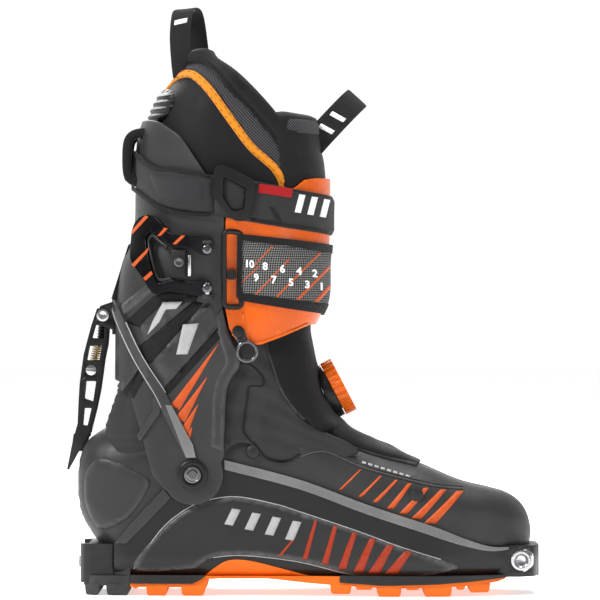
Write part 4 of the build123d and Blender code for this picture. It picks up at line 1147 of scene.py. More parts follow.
def tongue():
    ring = wrapped(leg, TONGUE, over=True)
    flap = skin("tongue_body", leg, ring, -2.5, -0.05, ORANGE, edge=0.8, grid=4.0,
                relief=lambda u, w: 0.5 * math.exp(-((w - 176) / 7) ** 2))
    done(flap, "cuff", "orange_plastic", "tongue_flap")
    crease = [(-38, 182), (-35.6, 172), (-31, 164)]
    for piece in line_on("tongue_crease", leg, crease, 1.1, -0.15, 0.75, ORANGE):
        done(piece, "cuff", "orange_plastic")
    hem = [(-44.6, 168.8), (-41, 165.6), (-35.6, 163.6), (-27, 162.8), (-12, 168.3), (3.4, 175)]
    for piece in line_on("tongue_hem", leg, hem, 1.5, 0.0, 0.8, ORANGE):
        done(piece, "cuff", "orange_plastic")


def closure_strap():
    """The numbered strap: open mesh with a black binding, orange diagonals and a scale of plain numbers."""
    chain = [(18, 225.2), (-10, 228.6), (-40.4, 232), (-41, 190.6), (-10, 185.6), (18, 181.4)]
    ring = wrapped(leg, chain, over=True)
    body = skin("closure_mesh", leg, ring, 0.35, 1.75, STRAP_MESH, round_over=1.2, edge=0.0, grid=3.4)
    done(body, "cuff", "strap_mesh", "closure_strap")
    upper = wrapped(leg, [(18, 226), (-10, 229.4), (-40.6, 232.6), (-40.6, 228.6), (-10, 225), (18, 220.4)],
                    over=True)
    lower = wrapped(leg, [(18, 187.4), (-10, 190.8), (-41.2, 195.2), (-41.2, 190.2), (-10, 184.8),
                          (18, 180.6)],
                    over=True)
    for label, ring in (("top", upper), ("low", lower)):
        binding = skin(f"closure_binding_{label}", leg, ring, 0.3, 2.4, STRAP_EDGE, edge=0.3)
        done(binding, "cuff", "webbing")
        stitch_line(f"closure_stitch_{label}", label)
    diagonals = [((-40.5, 200), (-27.5, 212), 0.8), ((-31, 212), (-19, 225), 0.9),
                 ((-30, 193.5), (-9, 216.5), 1.0),
                 ((-17, 192), (10.4, 221), 1.3), ((-4, 190.4), (16.4, 212), 1.9),
                 ((7, 188.6), (17.4, 200), 2.6)]
    for i, (a, b, width) in enumerate(diagonals):
        width *= 0.8
        ahead = (Vector(b) - Vector(a)).normalized()
        across = Vector((-ahead.y, ahead.x)) * width / 2
        points = [(a[0] + across.x, a[1] + across.y), (b[0] + across.x, b[1] + across.y),
                  (b[0] - across.x, b[1] - across.y), (a[0] - across.x, a[1] - across.y)]
        ring = side_ring(leg, points, 1.5)
        done(skin(f"strap_diagonal_{i}", leg, ring, 1.5, 1.86, STRIPE, edge=0.0, grid=1.6), "cuff",
             "strap_mesh")
    upper_row = [(10, -33.8, 213.2), (8, -23.9, 211.6), (6, -13.3, 210), (4, -3, 208.6), (2, 6.6, 207.2)]
    lower_row = [(9, -29.4, 204.4), (7, -18.6, 203), (5, -8, 201.4), (3, 2, 200), (1, 10.8, 198.8)]
    for value, x, z in upper_row + lower_row:
        surface_number(f"scale_{value}", str(value), x, z, 6.6)
    fold = skin("closure_fold", leg, side_ring(leg, [(-41.6, 231.4), (-38.4, 231), (-39, 191.4),
                                                     (-42.2, 191.8)], 1.6),
                0.4, 2.9, STRAP_EDGE, edge=0.5, grid=2.0)
    done(fold, "cuff", "webbing")
    knob = prism("strap_knob", rounded_corners([(-48.2, 209.4), (-42.6, 209.4), (-42.6, 203.2),
                                                (-48.2, 203.2)], 1.6),
                 -54.6, -44, BLACK, 0.5)
    done(knob, "cuff", "black_plastic")


def stitch_line(name, label):
    """A row of short stitches along the middle of a binding, over the front."""
    lift = 2.42
    stitches = []
    z_at = (lambda x: 226.8 - (x + 44) * 0.095) if label == "top" else (lambda x: 191.8 - (x + 44) * 0.115)
    for x in np.arange(-37, 16, 3.0):
        a, b = leg.place(x, z_at(x)), leg.place(x + 1.7, z_at(x + 1.7))
        stitches.append([leg.point(*a, lift), leg.point((a[0] + b[0]) / 2, (a[1] + b[1]) / 2, lift + 0.15),
                         leg.point(*b, lift)])
    threads(name, stitches, 0.22, STRAP, "cuff", "webbing")


def threads(name, paths, radius, material, body, slot):
    """Many short stitches as one object, each a small rounded bar."""
    verts, faces = [], []
    parts = 6
    for path in paths:
        start = len(verts)
        points = [Vector(p) for p in path]
        for i, point in enumerate(points):
            ahead = (points[min(i + 1, len(points) - 1)] - points[max(i - 1, 0)]).normalized()
            side = ahead.cross(Vector((0, 1, 0.3))).normalized()
            up = ahead.cross(side)
            size = radius * (0.6 if i in (0, len(points) - 1) else 1)
            for k in range(parts):
                angle = 2 * math.pi * k / parts
                verts.append(point + (side * math.cos(angle) + up * math.sin(angle)) * size)
        for i in range(len(points) - 1):
            for k in range(parts):
                a, b = start + i * parts + k, start + i * parts + (k + 1) % parts
                faces.append((a, b, b + parts, a + parts))
        faces.append(tuple(start + k for k in range(parts))[::-1])
        faces.append(tuple(start + (len(points) - 1) * parts + k for k in range(parts)))
    return done(fix_normals(new_object(name, verts, faces, material)), body, slot)


def surface_number(name, text, x, z, height):
    """A plain number laid on the outer side of the strap."""
    curve = bpy.data.curves.new(name, "FONT")
    curve.body = text
    curve.size = height
    curve.align_x = "CENTER"
    curve.align_y = "CENTER"
    curve.offset = 0.22
    curve.resolution_u = 3
    holder = bpy.data.objects.new(name + "_text", curve)
    flat = bpy.data.meshes.new_from_object(holder)
    bpy.data.objects.remove(holder)
    verts = []
    for layer in (1.6, 2.2):
        for v in flat.vertices:
            here = leg.place(x + v.co.x * 0.94, z + v.co.y - v.co.x * 0.1)
            verts.append(leg.point(*here, layer))
    count = len(flat.vertices)
    faces, sides = [], set()
    for face in flat.polygons:
        ids = tuple(face.vertices)
        faces += [ids, tuple(i + count for i in ids[::-1])]
        sides.update(zip(ids, ids[1:] + ids[:1]))
    faces += [(b, a, a + count, b + count) for a, b in sides if (b, a) not in sides]
    obj = fix_normals(new_object(name, verts, faces, PAINT_WHITE, flat=True))
    done(obj, "cuff", "strap_mesh")


def top_straps():
    """Cuff band round the back, power strap round the front, the window frame and the rear loop."""
    band_top = [(-120, 300), (-114, 293.5), (-106.1, 285.8), (-100.6, 280.3), (-91.4, 275.2), (-81.4, 274.6),
                (-66, 271.6), (-55.6, 269.6)]
    band_low = [(-55.6, 244.4), (-75.7, 246.4), (-84, 248.6), (-93.6, 252.8), (-106.1, 262.4),
                (-112.2, 266.2),
                (-120, 268)]
    chain = smooth(band_top, 4) + smooth(band_low, 4)
    band = skin("cuff_band_cloth", leg, wrapped(leg, chain), 0.2, 2.4, STRAP, round_over=1.4, edge=0.0,
                grid=3.6)
    done(band, "cuff", "webbing", "cuff_band")
    inset = [(-96.2, 271), (-84, 270.6), (-64.4, 266.6), (-62.6, 262), (-62.6, 254.6), (-65, 252.6),
             (-84, 254),
             (-90.4, 257.6)]
    on_sides("band_inset", leg, inset, 2.2, 3.3, STRAP, "cuff", "webbing", curve=3, round_over=1.6, edge=0.0)
    rail_a = [(-110, 264.8), (-93.6, 252.2), (-84, 248), (-75.7, 245.8), (-58, 244.6)]
    for piece in line_on("band_low_binding", leg, rail_a, 2.2, 2.1, 2.9, STRAP_EDGE):
        done(piece, "cuff", "webbing")
    rail_b = [(-110, 289), (-100.6, 279.4), (-91.4, 274.3), (-81.4, 273.8), (-58, 269.2)]
    for piece in line_on("band_top_binding", leg, rail_b, 2.0, 2.1, 2.8, STRAP_EDGE):
        done(piece, "cuff", "webbing")
    power = wrapped(leg, [(18, 257.6), (-8, 261.8), (-30.2, 266.4), (-56.1, 269.6), (-56.1, 244.6),
                          (-43.7, 241.9),
                          (-12, 236.6), (18, 232.4)], over=True)
    strap = skin("power_band", leg, power, 0.9, 2.75, STRAP, round_over=1.4, edge=0.0, grid=3.6,
                 relief=lambda u, w: 0.12 * math.sin(w * 2.2))
    done(strap, "cuff", "webbing", "power_strap")
    for label, line in (("top", [(-29, 265), (-8, 260.6), (14, 256.9)]),
                        ("low", [(-33, 241.6), (-12, 238), (14, 234)])):
        for piece in line_on(f"power_edge_{label}", leg, line, 1.6, 2.7, 3.1, STRAP_EDGE):
            done(piece, "cuff", "webbing")
    tag = side_ring(leg, rounded_corners([(-27.7, 264.6), (-7.6, 261.6), (-8.2, 255.8), (-28.3, 258.8)], 0.8),
                    1.5)
    done(skin("power_tag", leg, tag, 2.7, 3.3, TAG, edge=0.2, grid=2.2), "cuff", "webbing")
    slash = side_ring(leg, [(-21.6, 249.6), (-18.6, 249), (-13.6, 240.4), (-16.8, 241)], 1.5)
    done(skin("power_slash", leg, slash, 2.7, 3.05, STRAP_EDGE, edge=0.0, grid=2.0), "cuff", "webbing")
    for i, x in enumerate((-4.6, 3.0, 10.6)):
        z = 252.6 - (x + 4.6) * 0.17
        bar = side_ring(leg, [(x - 1.6, z - 6), (x + 2.0, z - 6.5), (x + 4.8, z + 5), (x + 1.2, z + 5.5)],
                        1.5)
        done(skin(f"power_mark_{i}", leg, bar, 2.7, 3.05, PAINT_WHITE, edge=0.0, grid=2.0), "cuff", "webbing")
    window()
    chain = smooth([(-101, 299.0), (-108.6, 297.6), (-112.6, 293.2), (-113.6, 283), (-113.0, 272),
                    (-110.6, 268),
                    (-102, 266.4)], 2.4)
    for k, (label, side) in enumerate((("outer", OUTER), ("inner", INNER))):
        path = [(x, side * 17 + MID, z) for x, z in chain]
        hoop = sweep(f"rear_hoop_{label}", path, 1, STRAP_EDGE, parts=12, flat=(9, 6.0))
        done(hoop, "cuff", "webbing", *(("rear_strap_loop",) if k == 0 else ()))
    cross = sweep("rear_hoop_back", [(-114.4, y + MID, 283 - abs(y) * 0.05) for y in range(-20, 21, 4)], 1,
                  STRAP_EDGE,
                  parts=12, flat=(24, 2.0), twist=lambda i: (0, 0, 1))
    done(cross, "cuff", "webbing")


def window():
    """The moulded frame that the power strap runs through."""
    outline = smooth([(-56.2, 272), (-53.4, 275.8), (-48.6, 275.6), (-32.6, 267.6), (-30.3, 264.6),
                      (-30.9, 257.3),
                      (-32.8, 248.4), (-34.6, 242.8), (-37.4, 240.8), (-42.4, 241), (-46, 243.4),
                      (-56.4, 255.6),
                      (-57.6, 259)], 2, True)
    hole = smooth([(-50.3, 267.6), (-48.4, 268.4), (-37.6, 262.6), (-36.3, 260.6), (-36.8, 250), (-38.4, 248),
                   (-43.2, 247.2), (-45.6, 248.6), (-50, 255), (-50.6, 257.6)], 2, True)
    frame_piece = skin("window_frame", leg, side_ring(leg, outline, 1.2), 2.6, 5.6, BLACK,
                       holes=[side_ring(leg, hole, 1.2)], edge=0.9, grid=2.4)
    done(frame_piece, "cuff", "black_plastic", "strap_window")
    floor = skin("window_floor", leg, side_ring(leg, hole, 2), 2.55, 2.9, STRAP, edge=0.0, grid=2.6)
    done(floor, "cuff", "webbing")


# ---------------------------------------------------------------- liner
COLLAR = [(-104, 326), (-93, 327.4), (-86, 333.6), (-79, 342), (-73.4, 350), (-66, 352.2), (-60.6, 351.2),
          (-55.8, 345.6), (-39.8, 334.1), (-17.4, 310.4), (-3, 288), (4.6, 270.5), (9, 255), (13, 248)]
PIPING_LINE = [(-91.6, 325.4), (-88.5, 329.6), (-83.4, 334.4), (-77.4, 336.6), (-72, 336.2), (-67.4, 333.4),
               (-59.0, 324.5), (-46.2, 306.6), (-33.4, 289.3), (-24, 280.6), (-17.4, 274.4), (-12.7, 266),
               (-11.4, 256)]


def liner():
    """The soft inner boot: one closed sock of foam and cloth, open at the collar."""
    chain = smooth(COLLAR, 3) + [(20, 200), (20, 62), (-118, 62)]
    ring = wrapped(sock, chain)

    def ripples(u, w):
        """Soft ripples that grow towards the collar."""
        return 0.2 * math.sin(w / 5.2 + 3 * math.sin(u * 5)) * max(0, min(1, (w - 250) / 60))

    body = skin("liner_body", sock, ring, -4.6, 0.0, LINER, round_over=4.2, edge=0.0, grid=4.4, relief=ripples)
    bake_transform(body)
    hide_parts("liner_foot", "liner_ankle", "liner_shaft")
    collar = smooth([(-81.6, 341.4), (-79.2, 343.4), (-73.4, 351.4), (-66, 353.2), (-60, 352), (-55, 346.6),
                     (-39, 334.8), (-16.8, 311), (-2.2, 288.4), (4.4, 272), (7.6, 262)], 3)
    lower = smooth([(0, 261), (-3.6, 270), (-10.6, 284.6), (-25, 304.4), (-45.4, 326.4), (-59.4, 340.4),
                    (-66, 344), (-74, 343.6), (-79, 339.6)], 3)
    knit = smooth([(-80.4, 339.4), (-74, 342.6), (-66, 343), (-60, 339.4), (-46, 325.4), (-25.6, 303.6),
                   (-11.2, 283.6), (-4.2, 269), (-0.6, 260)], 3)
    knit_low = smooth([(-8.8, 260), (-10, 268), (-17.4, 277.6), (-31, 289.4), (-43.4, 306.6), (-56, 324.6),
                       (-65, 334), (-72.4, 338.2), (-78, 338.4)], 3)
    for side, label in ((1, "outer"), (-1, "inner")):
        band_line = side_ring(sock, knit + knit_low)
        band_line = band_line if side > 0 else flipped(band_line)
        band = skin(f"collar_knit_{label}", sock, band_line, -0.6, 0.7, LINER_MESH, round_over=1.5, edge=0.0,
                    grid=2.4)
        done(band, "cuff", "liner_fabric")
    for side, label in ((1, "outer"), (-1, "inner")):
        pad_ring = side_ring(sock, collar + lower)
        pad_ring = pad_ring if side > 0 else flipped(pad_ring)
        pad = skin(f"collar_pad_{label}", sock, pad_ring, -0.4, 2.2, LINER, round_over=2.6, edge=0.0,
                   grid=2.0)
        done(pad, "cuff", "liner_fabric")
    piping()
    flex_piece()
    liner_tongue()


def piping():
    """The stitched yellow-orange piping below the collar, right round the back."""
    curve = smooth(PIPING_LINE, 2.5)
    above, below = [], []
    for i, (x, z) in enumerate(curve):
        ahead = (Vector(curve[min(i + 1, len(curve) - 1)]) - Vector(curve[max(i - 1, 0)])).normalized()
        across = Vector((-ahead.y, ahead.x)) * 2.7
        above.append((x + across.x, z + across.y))
        below.append((x - across.x, z - across.y))
    for side, label in ((1, "outer"), (-1, "inner")):
        ring = side_ring(sock, above + below[::-1])
        ring = ring if side > 0 else flipped(ring)
        strip = skin(f"piping_{label}", sock, ring, 0.1, 2.0, PIPING, round_over=1.5, edge=0.0, grid=1.8)
        done(strip, "cuff", "liner_fabric")
        stitches = []
        for row in (1.75, -1.75):
            for k in range(2, len(curve) - 2):
                if k % 2:
                    continue
                ahead = (Vector(curve[k + 1]) - Vector(curve[k - 1])).normalized()
                across = Vector((-ahead.y, ahead.x)) * row
                spots = []
                for t in (-0.85, 0, 0.85):
                    u, w = sock.place(curve[k][0] + across.x + ahead.x * t,
                                      curve[k][1] + across.y + ahead.y * t)
                    spots.append(sock.point(u * side, w, 1.95 + (0.12 if t == 0 else 0)))
                stitches.append(spots)
        threads(f"piping_stitch_{label}", stitches, 0.2, STRAP_EDGE, "cuff", "liner_fabric")


def flex_piece():
    """The ribbed rubber piece behind the collar."""
    chain = smooth([(-110, 324), (-92.4, 324), (-86.6, 327.4), (-82.6, 322), (-84, 314), (-90, 306),
                    (-100, 302),
                    (-112, 302)], 3)
    piece = skin("collar_flex", sock, wrapped(sock, chain), 0.1, 3.0, BLACK, round_over=2.0, edge=0.0,
                 grid=1.1,
                 relief=lambda u, w: 0.7 * math.sin(2 * math.pi * w / 4.4))
    done(piece, "cuff", "liner_fabric", "liner_flex_piece")


def liner_tongue():
    chain = smooth([(20, 309.6), (4, 310.6), (-9, 311.6), (-15.6, 309.4), (-17.4, 300), (-14.4, 280),
                    (-12, 250),
                    (-11, 205)], 4) + [(20, 205)]
    piece = skin("tongue_pad", leg, wrapped(leg, chain, over=True), -8.2, -3.0, LINER, round_over=4.5,
                 edge=0.0,
                 grid=3.6, relief=lambda u, w: -0.7 * math.exp(-(((w - 286) / 2.2) ** 2)))
    done(piece, "cuff", "liner_fabric", "liner_tongue")
    ring = wrapped(leg, [(20, 306), (4, 307), (-8.6, 307.8), (-9.4, 298), (4, 297), (20, 296)], over=True)
    patch = skin("tongue_patch", leg, ring, -3.6, -2.4, LINER_MESH, round_over=1.4, edge=0.0)
    done(patch, "cuff", "liner_fabric")


def loops():
    """The two pull loops of webbing."""
    up = [(-77.2, -13.4, 335), (-78.4, -12.8, 345), (-79.4, -11, 360), (-78.8, -9.6, 371), (-77.6, -6, 377.4),
          (-75, 0, 379.4), (-71.8, 6, 377), (-70, 9.4, 370), (-68.4, 10.6, 358), (-66.8, 12.4, 344),
          (-66, 13.4, 335)]
    path = [Vector(p) + Vector((0, MID, 0)) for p in smooth3(up, 2.2)]
    rear = sweep("rear_loop_webbing", path, 1, WEBBING, parts=14, flat=(13.4, 1.7),
                 twist=lambda i: (1, 0, 0.1))
    strap_uv(rear, 14, 13.4, path)
    done(rear, "cuff", "webbing", "rear_pull_loop")
    for k, along in enumerate((0.36, 0.5)):
        loop_mark(f"rear_loop_mark_{k}", path, along, (1, 0, 0.1), 13.4)
    front = [(2.5, -8.6, 286), (9, -9.6, 294), (20, -10, 306), (30, -8.6, 316.4), (34.4, -4.6, 320.6),
             (35.8, 0, 321.8), (34.4, 4.6, 320.6), (30, 8.6, 316.4), (20, 10, 306), (9, 9.6, 294),
             (2.5, 8.6, 286)]
    path = [Vector(p) + Vector((0, MID, 0)) for p in smooth3(front, 2.2)]
    loop = sweep("tongue_loop_webbing", path, 1, WEBBING, parts=14, flat=(16.4, 1.7),
                 twist=lambda i: (0.74, 0, -0.67))
    strap_uv(loop, 14, 16.4, path)
    for k, along in enumerate((0.2, 0.29)):
        loop_mark(f"tongue_loop_mark_{k}", path, along, (0.74, 0, -0.67), 16.4)
    done(loop, "cuff", "webbing", "tongue_pull_loop")


def loop_mark(name, path, along, across, width):
    """A plain light bar printed across a webbing loop."""
    middle = int(along * (len(path) - 1))
    ahead = (path[middle + 1] - path[middle - 1]).normalized()
    side = Vector(across)
    side = (side - ahead * side.dot(ahead)).normalized()
    normal = ahead.cross(side)
    if normal.y > 0:
        normal = -normal
    centre = path[middle] + normal * 0.72
    half, deep, lean = width * 0.3, 1.6, 1.3
    corners = [(-half, -deep - lean), (half, -deep + lean), (half, deep + lean), (-half, deep - lean)]
    verts = [centre + side * a + ahead * b + normal * c for c in (0.0, 0.35) for a, b in corners]
    faces = [(0, 1, 2, 3), (7, 6, 5, 4)] + [(i, (i + 1) % 4, (i + 1) % 4 + 4, i + 4) for i in range(4)]
    done(fix_normals(new_object(name, verts, faces, PAINT_WHITE)), "cuff", "webbing")


def smooth3(points, step):
    """A curve through points in space."""
    out = []
    count = len(points)
    for i in range(count - 1):
        p0, p1 = Vector(points[max(i - 1, 0)]), Vector(points[i])
        p2, p3 = Vector(points[i + 1]), Vector(points[min(i + 2, count - 1)])
        parts = max(1, int(math.ceil((p2 - p1).length / step)))
        for k in range(parts):
            t = k / parts
            out.append(0.5 * (2 * p1 + (p2 - p0) * t + (2 * p0 - 5 * p1 + 4 * p2 - p3) * t * t
                              + (3 * p1 - p0 - 3 * p2 + p3) * t ** 3))
    return out + [Vector(points[-1])]


def strap_uv(obj, parts, width, path):
    """Surface coordinates for a swept strap, across and along, in metres."""
    mesh = obj.data
    layer = mesh.uv_layers.new(name="surface")
    along = [0.0]
    for a, b in zip(path, path[1:]):
        along.append(along[-1] + (b - a).length)
    for loop in mesh.loops:
        row, k = divmod(loop.vertex_index, parts)
        angle = 2 * math.pi * (k + 0.5) / parts
        c = math.cos(angle)
        across = math.copysign(abs(c) ** 0.35, c) * width / 2
        layer.data[loop.index].uv = (across * MM, along[min(row, len(along) - 1)] * MM)


# ---------------------------------------------------------------- gaiter and soft ankle
FLANK = Form([(82, -90, 64, 39.4, 20), (100, -90, 46, 39.9, 22), (111, -90, 28, 39.6, 26),
              (130, -90, 15, 39.6, 30),
              (148.5, -90, 8.4, 39.8, 34), (172, -90, 3.6, 39.6, 36), (188, -90, 6, 39.6, 36)], False)
GAITER_LOW = [(-24, 186), (-22.2, 161.9), (-18.3, 148.5), (-13.6, 134.4), (-6.6, 122.9), (2.4, 113.3),
              (15.8, 104.3), (30.6, 97.3), (51.7, 90.2), (74.4, 84.4)]
GAITER_TOP = [(6, 187), (4.2, 173.8), (6.1, 161.3), (8.4, 148.5), (11, 136), (15.4, 124.4), (24.5, 112),
              (41, 101.6),
              (62.2, 91.8), (76.4, 85.0)]


def half_width(x, z, side):
    """Half the width of the foot or the soft ankle at a point of the side view."""
    if z > 106:
        u, w = FLANK.place(x, z)
        return abs(FLANK.point(u, w)[1] - MID)
    form_u, form_w = foot.place(x, z)
    y_outer = abs(foot.point(form_u, form_w)[1] - MID)
    outer, inner, *_ = foot.section(x)
    return y_outer if side == OUTER else y_outer + inner - outer


def gaiter():
    """Softshell sleeve from the toe box up inside the tongue, with folds across the instep."""
    low = smooth(GAITER_LOW, 3.2)
    count = len(low)
    top_full = smooth(GAITER_TOP, 1.0)
    top = [top_full[round(i * (len(top_full) - 1) / (count - 1))] for i in range(count)]
    fan = 40
    verts, faces = [], []
    for i, (b, t) in enumerate(zip(low, top)):
        along = i / (count - 1)
        for k in range(fan + 1):
            phi = math.pi * k / fan
            side = OUTER if k < fan / 2 else INNER
            width = half_width(*b, side) + 0.9
            lift = math.sin(phi)
            across = math.copysign(abs(math.cos(phi)) ** 0.82, math.cos(phi))
            fold = folds(along, phi)
            x = b[0] + (t[0] - b[0]) * lift + fold * 0.55 * lift
            z = b[1] + (t[1] - b[1]) * lift + fold * 0.8 * lift
            verts.append((x, side_sign(across) * abs(across) * (width + fold * 0.5 * lift) + MID, z))
    for i in range(count - 1):
        for k in range(fan):
            a = i * (fan + 1) + k
            faces.append((a, a + 1, a + fan + 2, a + fan + 1))
    obj = new_object("gaiter_sleeve", verts, faces, GAITER)
    wall = obj.modifiers.new("wall", "SOLIDIFY")
    wall.thickness = 1.3 * MM
    wall.offset = -1
    apply_modifiers(obj)
    fix_normals(obj)
    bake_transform(obj)
    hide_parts("gaiter")
    flank = smooth([(-60, 84), (-60, 172), (-24, 172), (-21.6, 160), (-17.6, 147), (-12.6, 133),
                    (-5.6, 121.6),
                    (1, 114.6), (15.4, 105.4), (30, 98.6), (36, 92), (20, 88), (-12, 86.4), (-24, 88),
                    (-34, 98), (-46, 96), (-52, 86)], 4, True)
    for side, label in ((1, "outer"), (-1, "inner")):
        ring = side_ring(FLANK, flank)
        ring = ring if side > 0 else flipped(ring)
        piece = skin(f"soft_ankle_{label}", FLANK, ring, -1.2, 0.3, SOFT_ANKLE, edge=0.0, grid=2.6,
                     relief=lambda u, w: (0.55 * math.sin(w / 3.1 + 5 * math.sin(u * 9))
                                      * math.sin(u * 21 + w / 9)))
        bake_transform(piece)


def ankle_lines():
    """The seams of the soft ankle panel."""
    seams = [[(-40, 150.2), (-35, 149.6), (-31.1, 147.2), (-27, 143), (-25.1, 140.4), (-24.4, 136.4),
              (-27, 134.9),
              (-34.1, 134.6), (-35.4, 126), (-37.9, 109.1), (-36.6, 104), (-32, 98.6), (-27.6, 93)],
             [(-31, 99), (-27, 94), (-23.8, 89.4), (-14.9, 86), (-8.1, 87), (-2, 91.4)]]
    for number, seam in enumerate(seams):
        for piece in line_on(f"ankle_seam_{number}", FLANK, seam, 0.9, 0.1, 1.0, SHADE_AND_SEAM_BLACK):
            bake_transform(piece)


def side_sign(across):
    """-Y for the first half of the fan, which is the outer side."""
    return OUTER if across >= 0 else INNER


def folds(along, phi):
    """Height of the gaiter's folds: soft waves that run down the sleeve, fading at both edges."""
    fade = math.sin(math.pi * min(1, max(0, along))) ** 0.6
    wave = 1.1 * math.sin(along * 26 + 2.2 * math.sin(phi * 2.3) + 0.8)
    wave += 0.6 * math.sin(along * 47 + 3 * phi) + 0.45 * math.sin(phi * 7 + along * 9)
    return wave * fade * math.sin(phi) ** 0.5 * 0.62


def apply_modifiers(obj):
    """The mesh as its modifiers make it."""
    bpy.context.view_layer.update()
    shaped = bpy.data.meshes.new_from_object(obj.evaluated_get(bpy.context.evaluated_depsgraph_get()))
    obj.modifiers.clear()
    obj.data = shaped


def gaiter_edge():
    """The bonded rubber edge where the gaiter meets the shell."""
    line = smooth(GAITER_LOW[5:], 3)
    for piece in line_on("gaiter_bond", foot, line, 2.6, -0.2, 1.3, GAITER_EDGE):
        done(piece, "shell", "softshell")
    upper = smooth(GAITER_LOW[:6], 3)
    for side, label in ((1, "outer"), (-1, "inner")):
        ring_a, ring_b = [], []
        for x, z in upper:
            ring_a.append(FLANK.place(x + 1.2, z))
            ring_b.append(FLANK.place(x - 1.4, z))
        ring = [(u * side, w) for u, w in ring_a + ring_b[::-1]]
        piece = skin(f"gaiter_bond_high_{label}", FLANK, ring, -0.1, 1.4, GAITER_EDGE, edge=0.0, grid=2.6)
        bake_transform(piece)


# ---------------------------------------------------------------- hardware from the frame
TOE_SOCKET = (141.1, 22.6)


def finish_node(name, material, edge=0.3, degrees=35):
    """A CAD part that stays: its finish, smooth curved faces and rounded edges."""
    obj = NODES[name]
    obj.data.materials.clear()
    obj.data.materials.append(material)
    obj.data.shade_smooth()
    weld = obj.modifiers.new("weld", "WELD")
    weld.merge_threshold = 0.00001
    if edge:
        soften(obj, edge, degrees)
    else:
        obj.data.set_sharp_from_angle(angle=math.radians(degrees))
    return obj


def hardware():
    kept = {
        "toe_ledge": (FRAME, 0.9), "toe_insert": (STEEL, 0.35), "heel_insert": (STEEL, 0.5),
        "heel_insert_screw": (STEEL_DARK, 0.25), "boot_board": (BOARD, 0.0), "footbed": (FOAM, 0.8),
        "catch_bar": (STEEL, 0.2), "pivot_bushings": (BLACK, 0.2), "pivot_washers": (BLACK, 0.4),
        "pivot_bolts": (STEEL_DARK, 0.3), "pivot_nuts": (STEEL_DARK, 0.2), "shell_rivets": (DARK, 0.6),
        "reel_base": (BLACK, 0.5), "reel_lace": (STEEL_DARK, 0.0), "lace_guides": (BLACK, 0.25),
        "reel_spindle": (BLACK, 0.4), "reel_dial": (ORANGE, 0.35), "strap_rivets": (STEEL_DARK, 0.4),
        "buckle_base": (DARK, 0.4), "buckle_screw": (STEEL_DARK, 0.3), "lever_pins": (STEEL, 0.1),
        "ring_rod": (STEEL, 0.1),
        "rear_bracket": (BLACK, 0.5), "bracket_bolt": (STEEL, 0.4), "walk_lever": (BLACK, 0.45),
        "lever_screw": (STEEL, 0.3), "lever_hook": (BLACK, 0.35), "d_ring_stud": (BLACK, 0.5),
        "d_ring": (STEEL_DARK, 0.3),
    }
    for name, (material, edge) in kept.items():
        finish_node(name, material, edge)
    spring()
    pivot_rings()
    buckle_details()
    dome()
    toe_plates()


def spring():
    """The walk lever's coil spring, as a real coil round its guide."""
    a = Vector((-133.5, MID, 160.4))
    b = Vector((-135.5, MID, 150.4))
    axis = (b - a).normalized()
    side = Vector((0, 1, 0))
    up = axis.cross(side)
    turns = 7
    path = []
    for t in np.linspace(0, 1, turns * 14):
        angle = 2 * math.pi * turns * t
        path.append(a + (b - a) * t + side * 2.7 * math.cos(angle) + up * 2.7 * math.sin(angle))
    coil = sweep("lever_coil", path, 0.42, BRASS, parts=8)
    done(coil, "walk_lever", "spring_brass", "lever_spring")
    rings = [(3.6 if k % 2 else 2.9, k * 0.9) for k in range(17)]
    boot = lathe("lever_bellows", (-130.4, MID, 163.6), (1.2, 0, 15), rings, BLACK, 28)
    done(boot, "walk_lever", "black_plastic")


def pivot_rings():
    """Black cap ring and turned disc over each ankle hinge."""
    for side, label in ((OUTER, "outer"), (INNER, "inner")):
        centre = (PIVOT[0], side * 47.0 + MID, PIVOT[1])
        axis = (0, side, 0)
        ring = lathe(f"pivot_ring_{label}", centre, axis, [(9.5, -0.1), (9.4, 0.7), (8.6, 1.3), (6.6, 1.35),
                                                           (5.9, 0.9),
                                                          (5.8, -0.1)], BLACK, 56)
        done(ring, "cuff", "black_plastic")
        centre = (PIVOT[0], side * 48.9 + MID, PIVOT[1])
        disc = lathe(f"pivot_disc_{label}", centre, axis, [(5.1, -0.1), (5.1, 0.15), (4.5, 0.32), (4.2, 0.12),
                                                           (3.7, 0.12),
                                                          (3.4, 0.34), (2.5, 0.34), (2.3, 0.1), (1.3, 0.1),
                                                          (1.1, 0.3), (0.2, 0.3)], STEEL_DARK, 48)
        done(disc, "shell", "dark_steel")


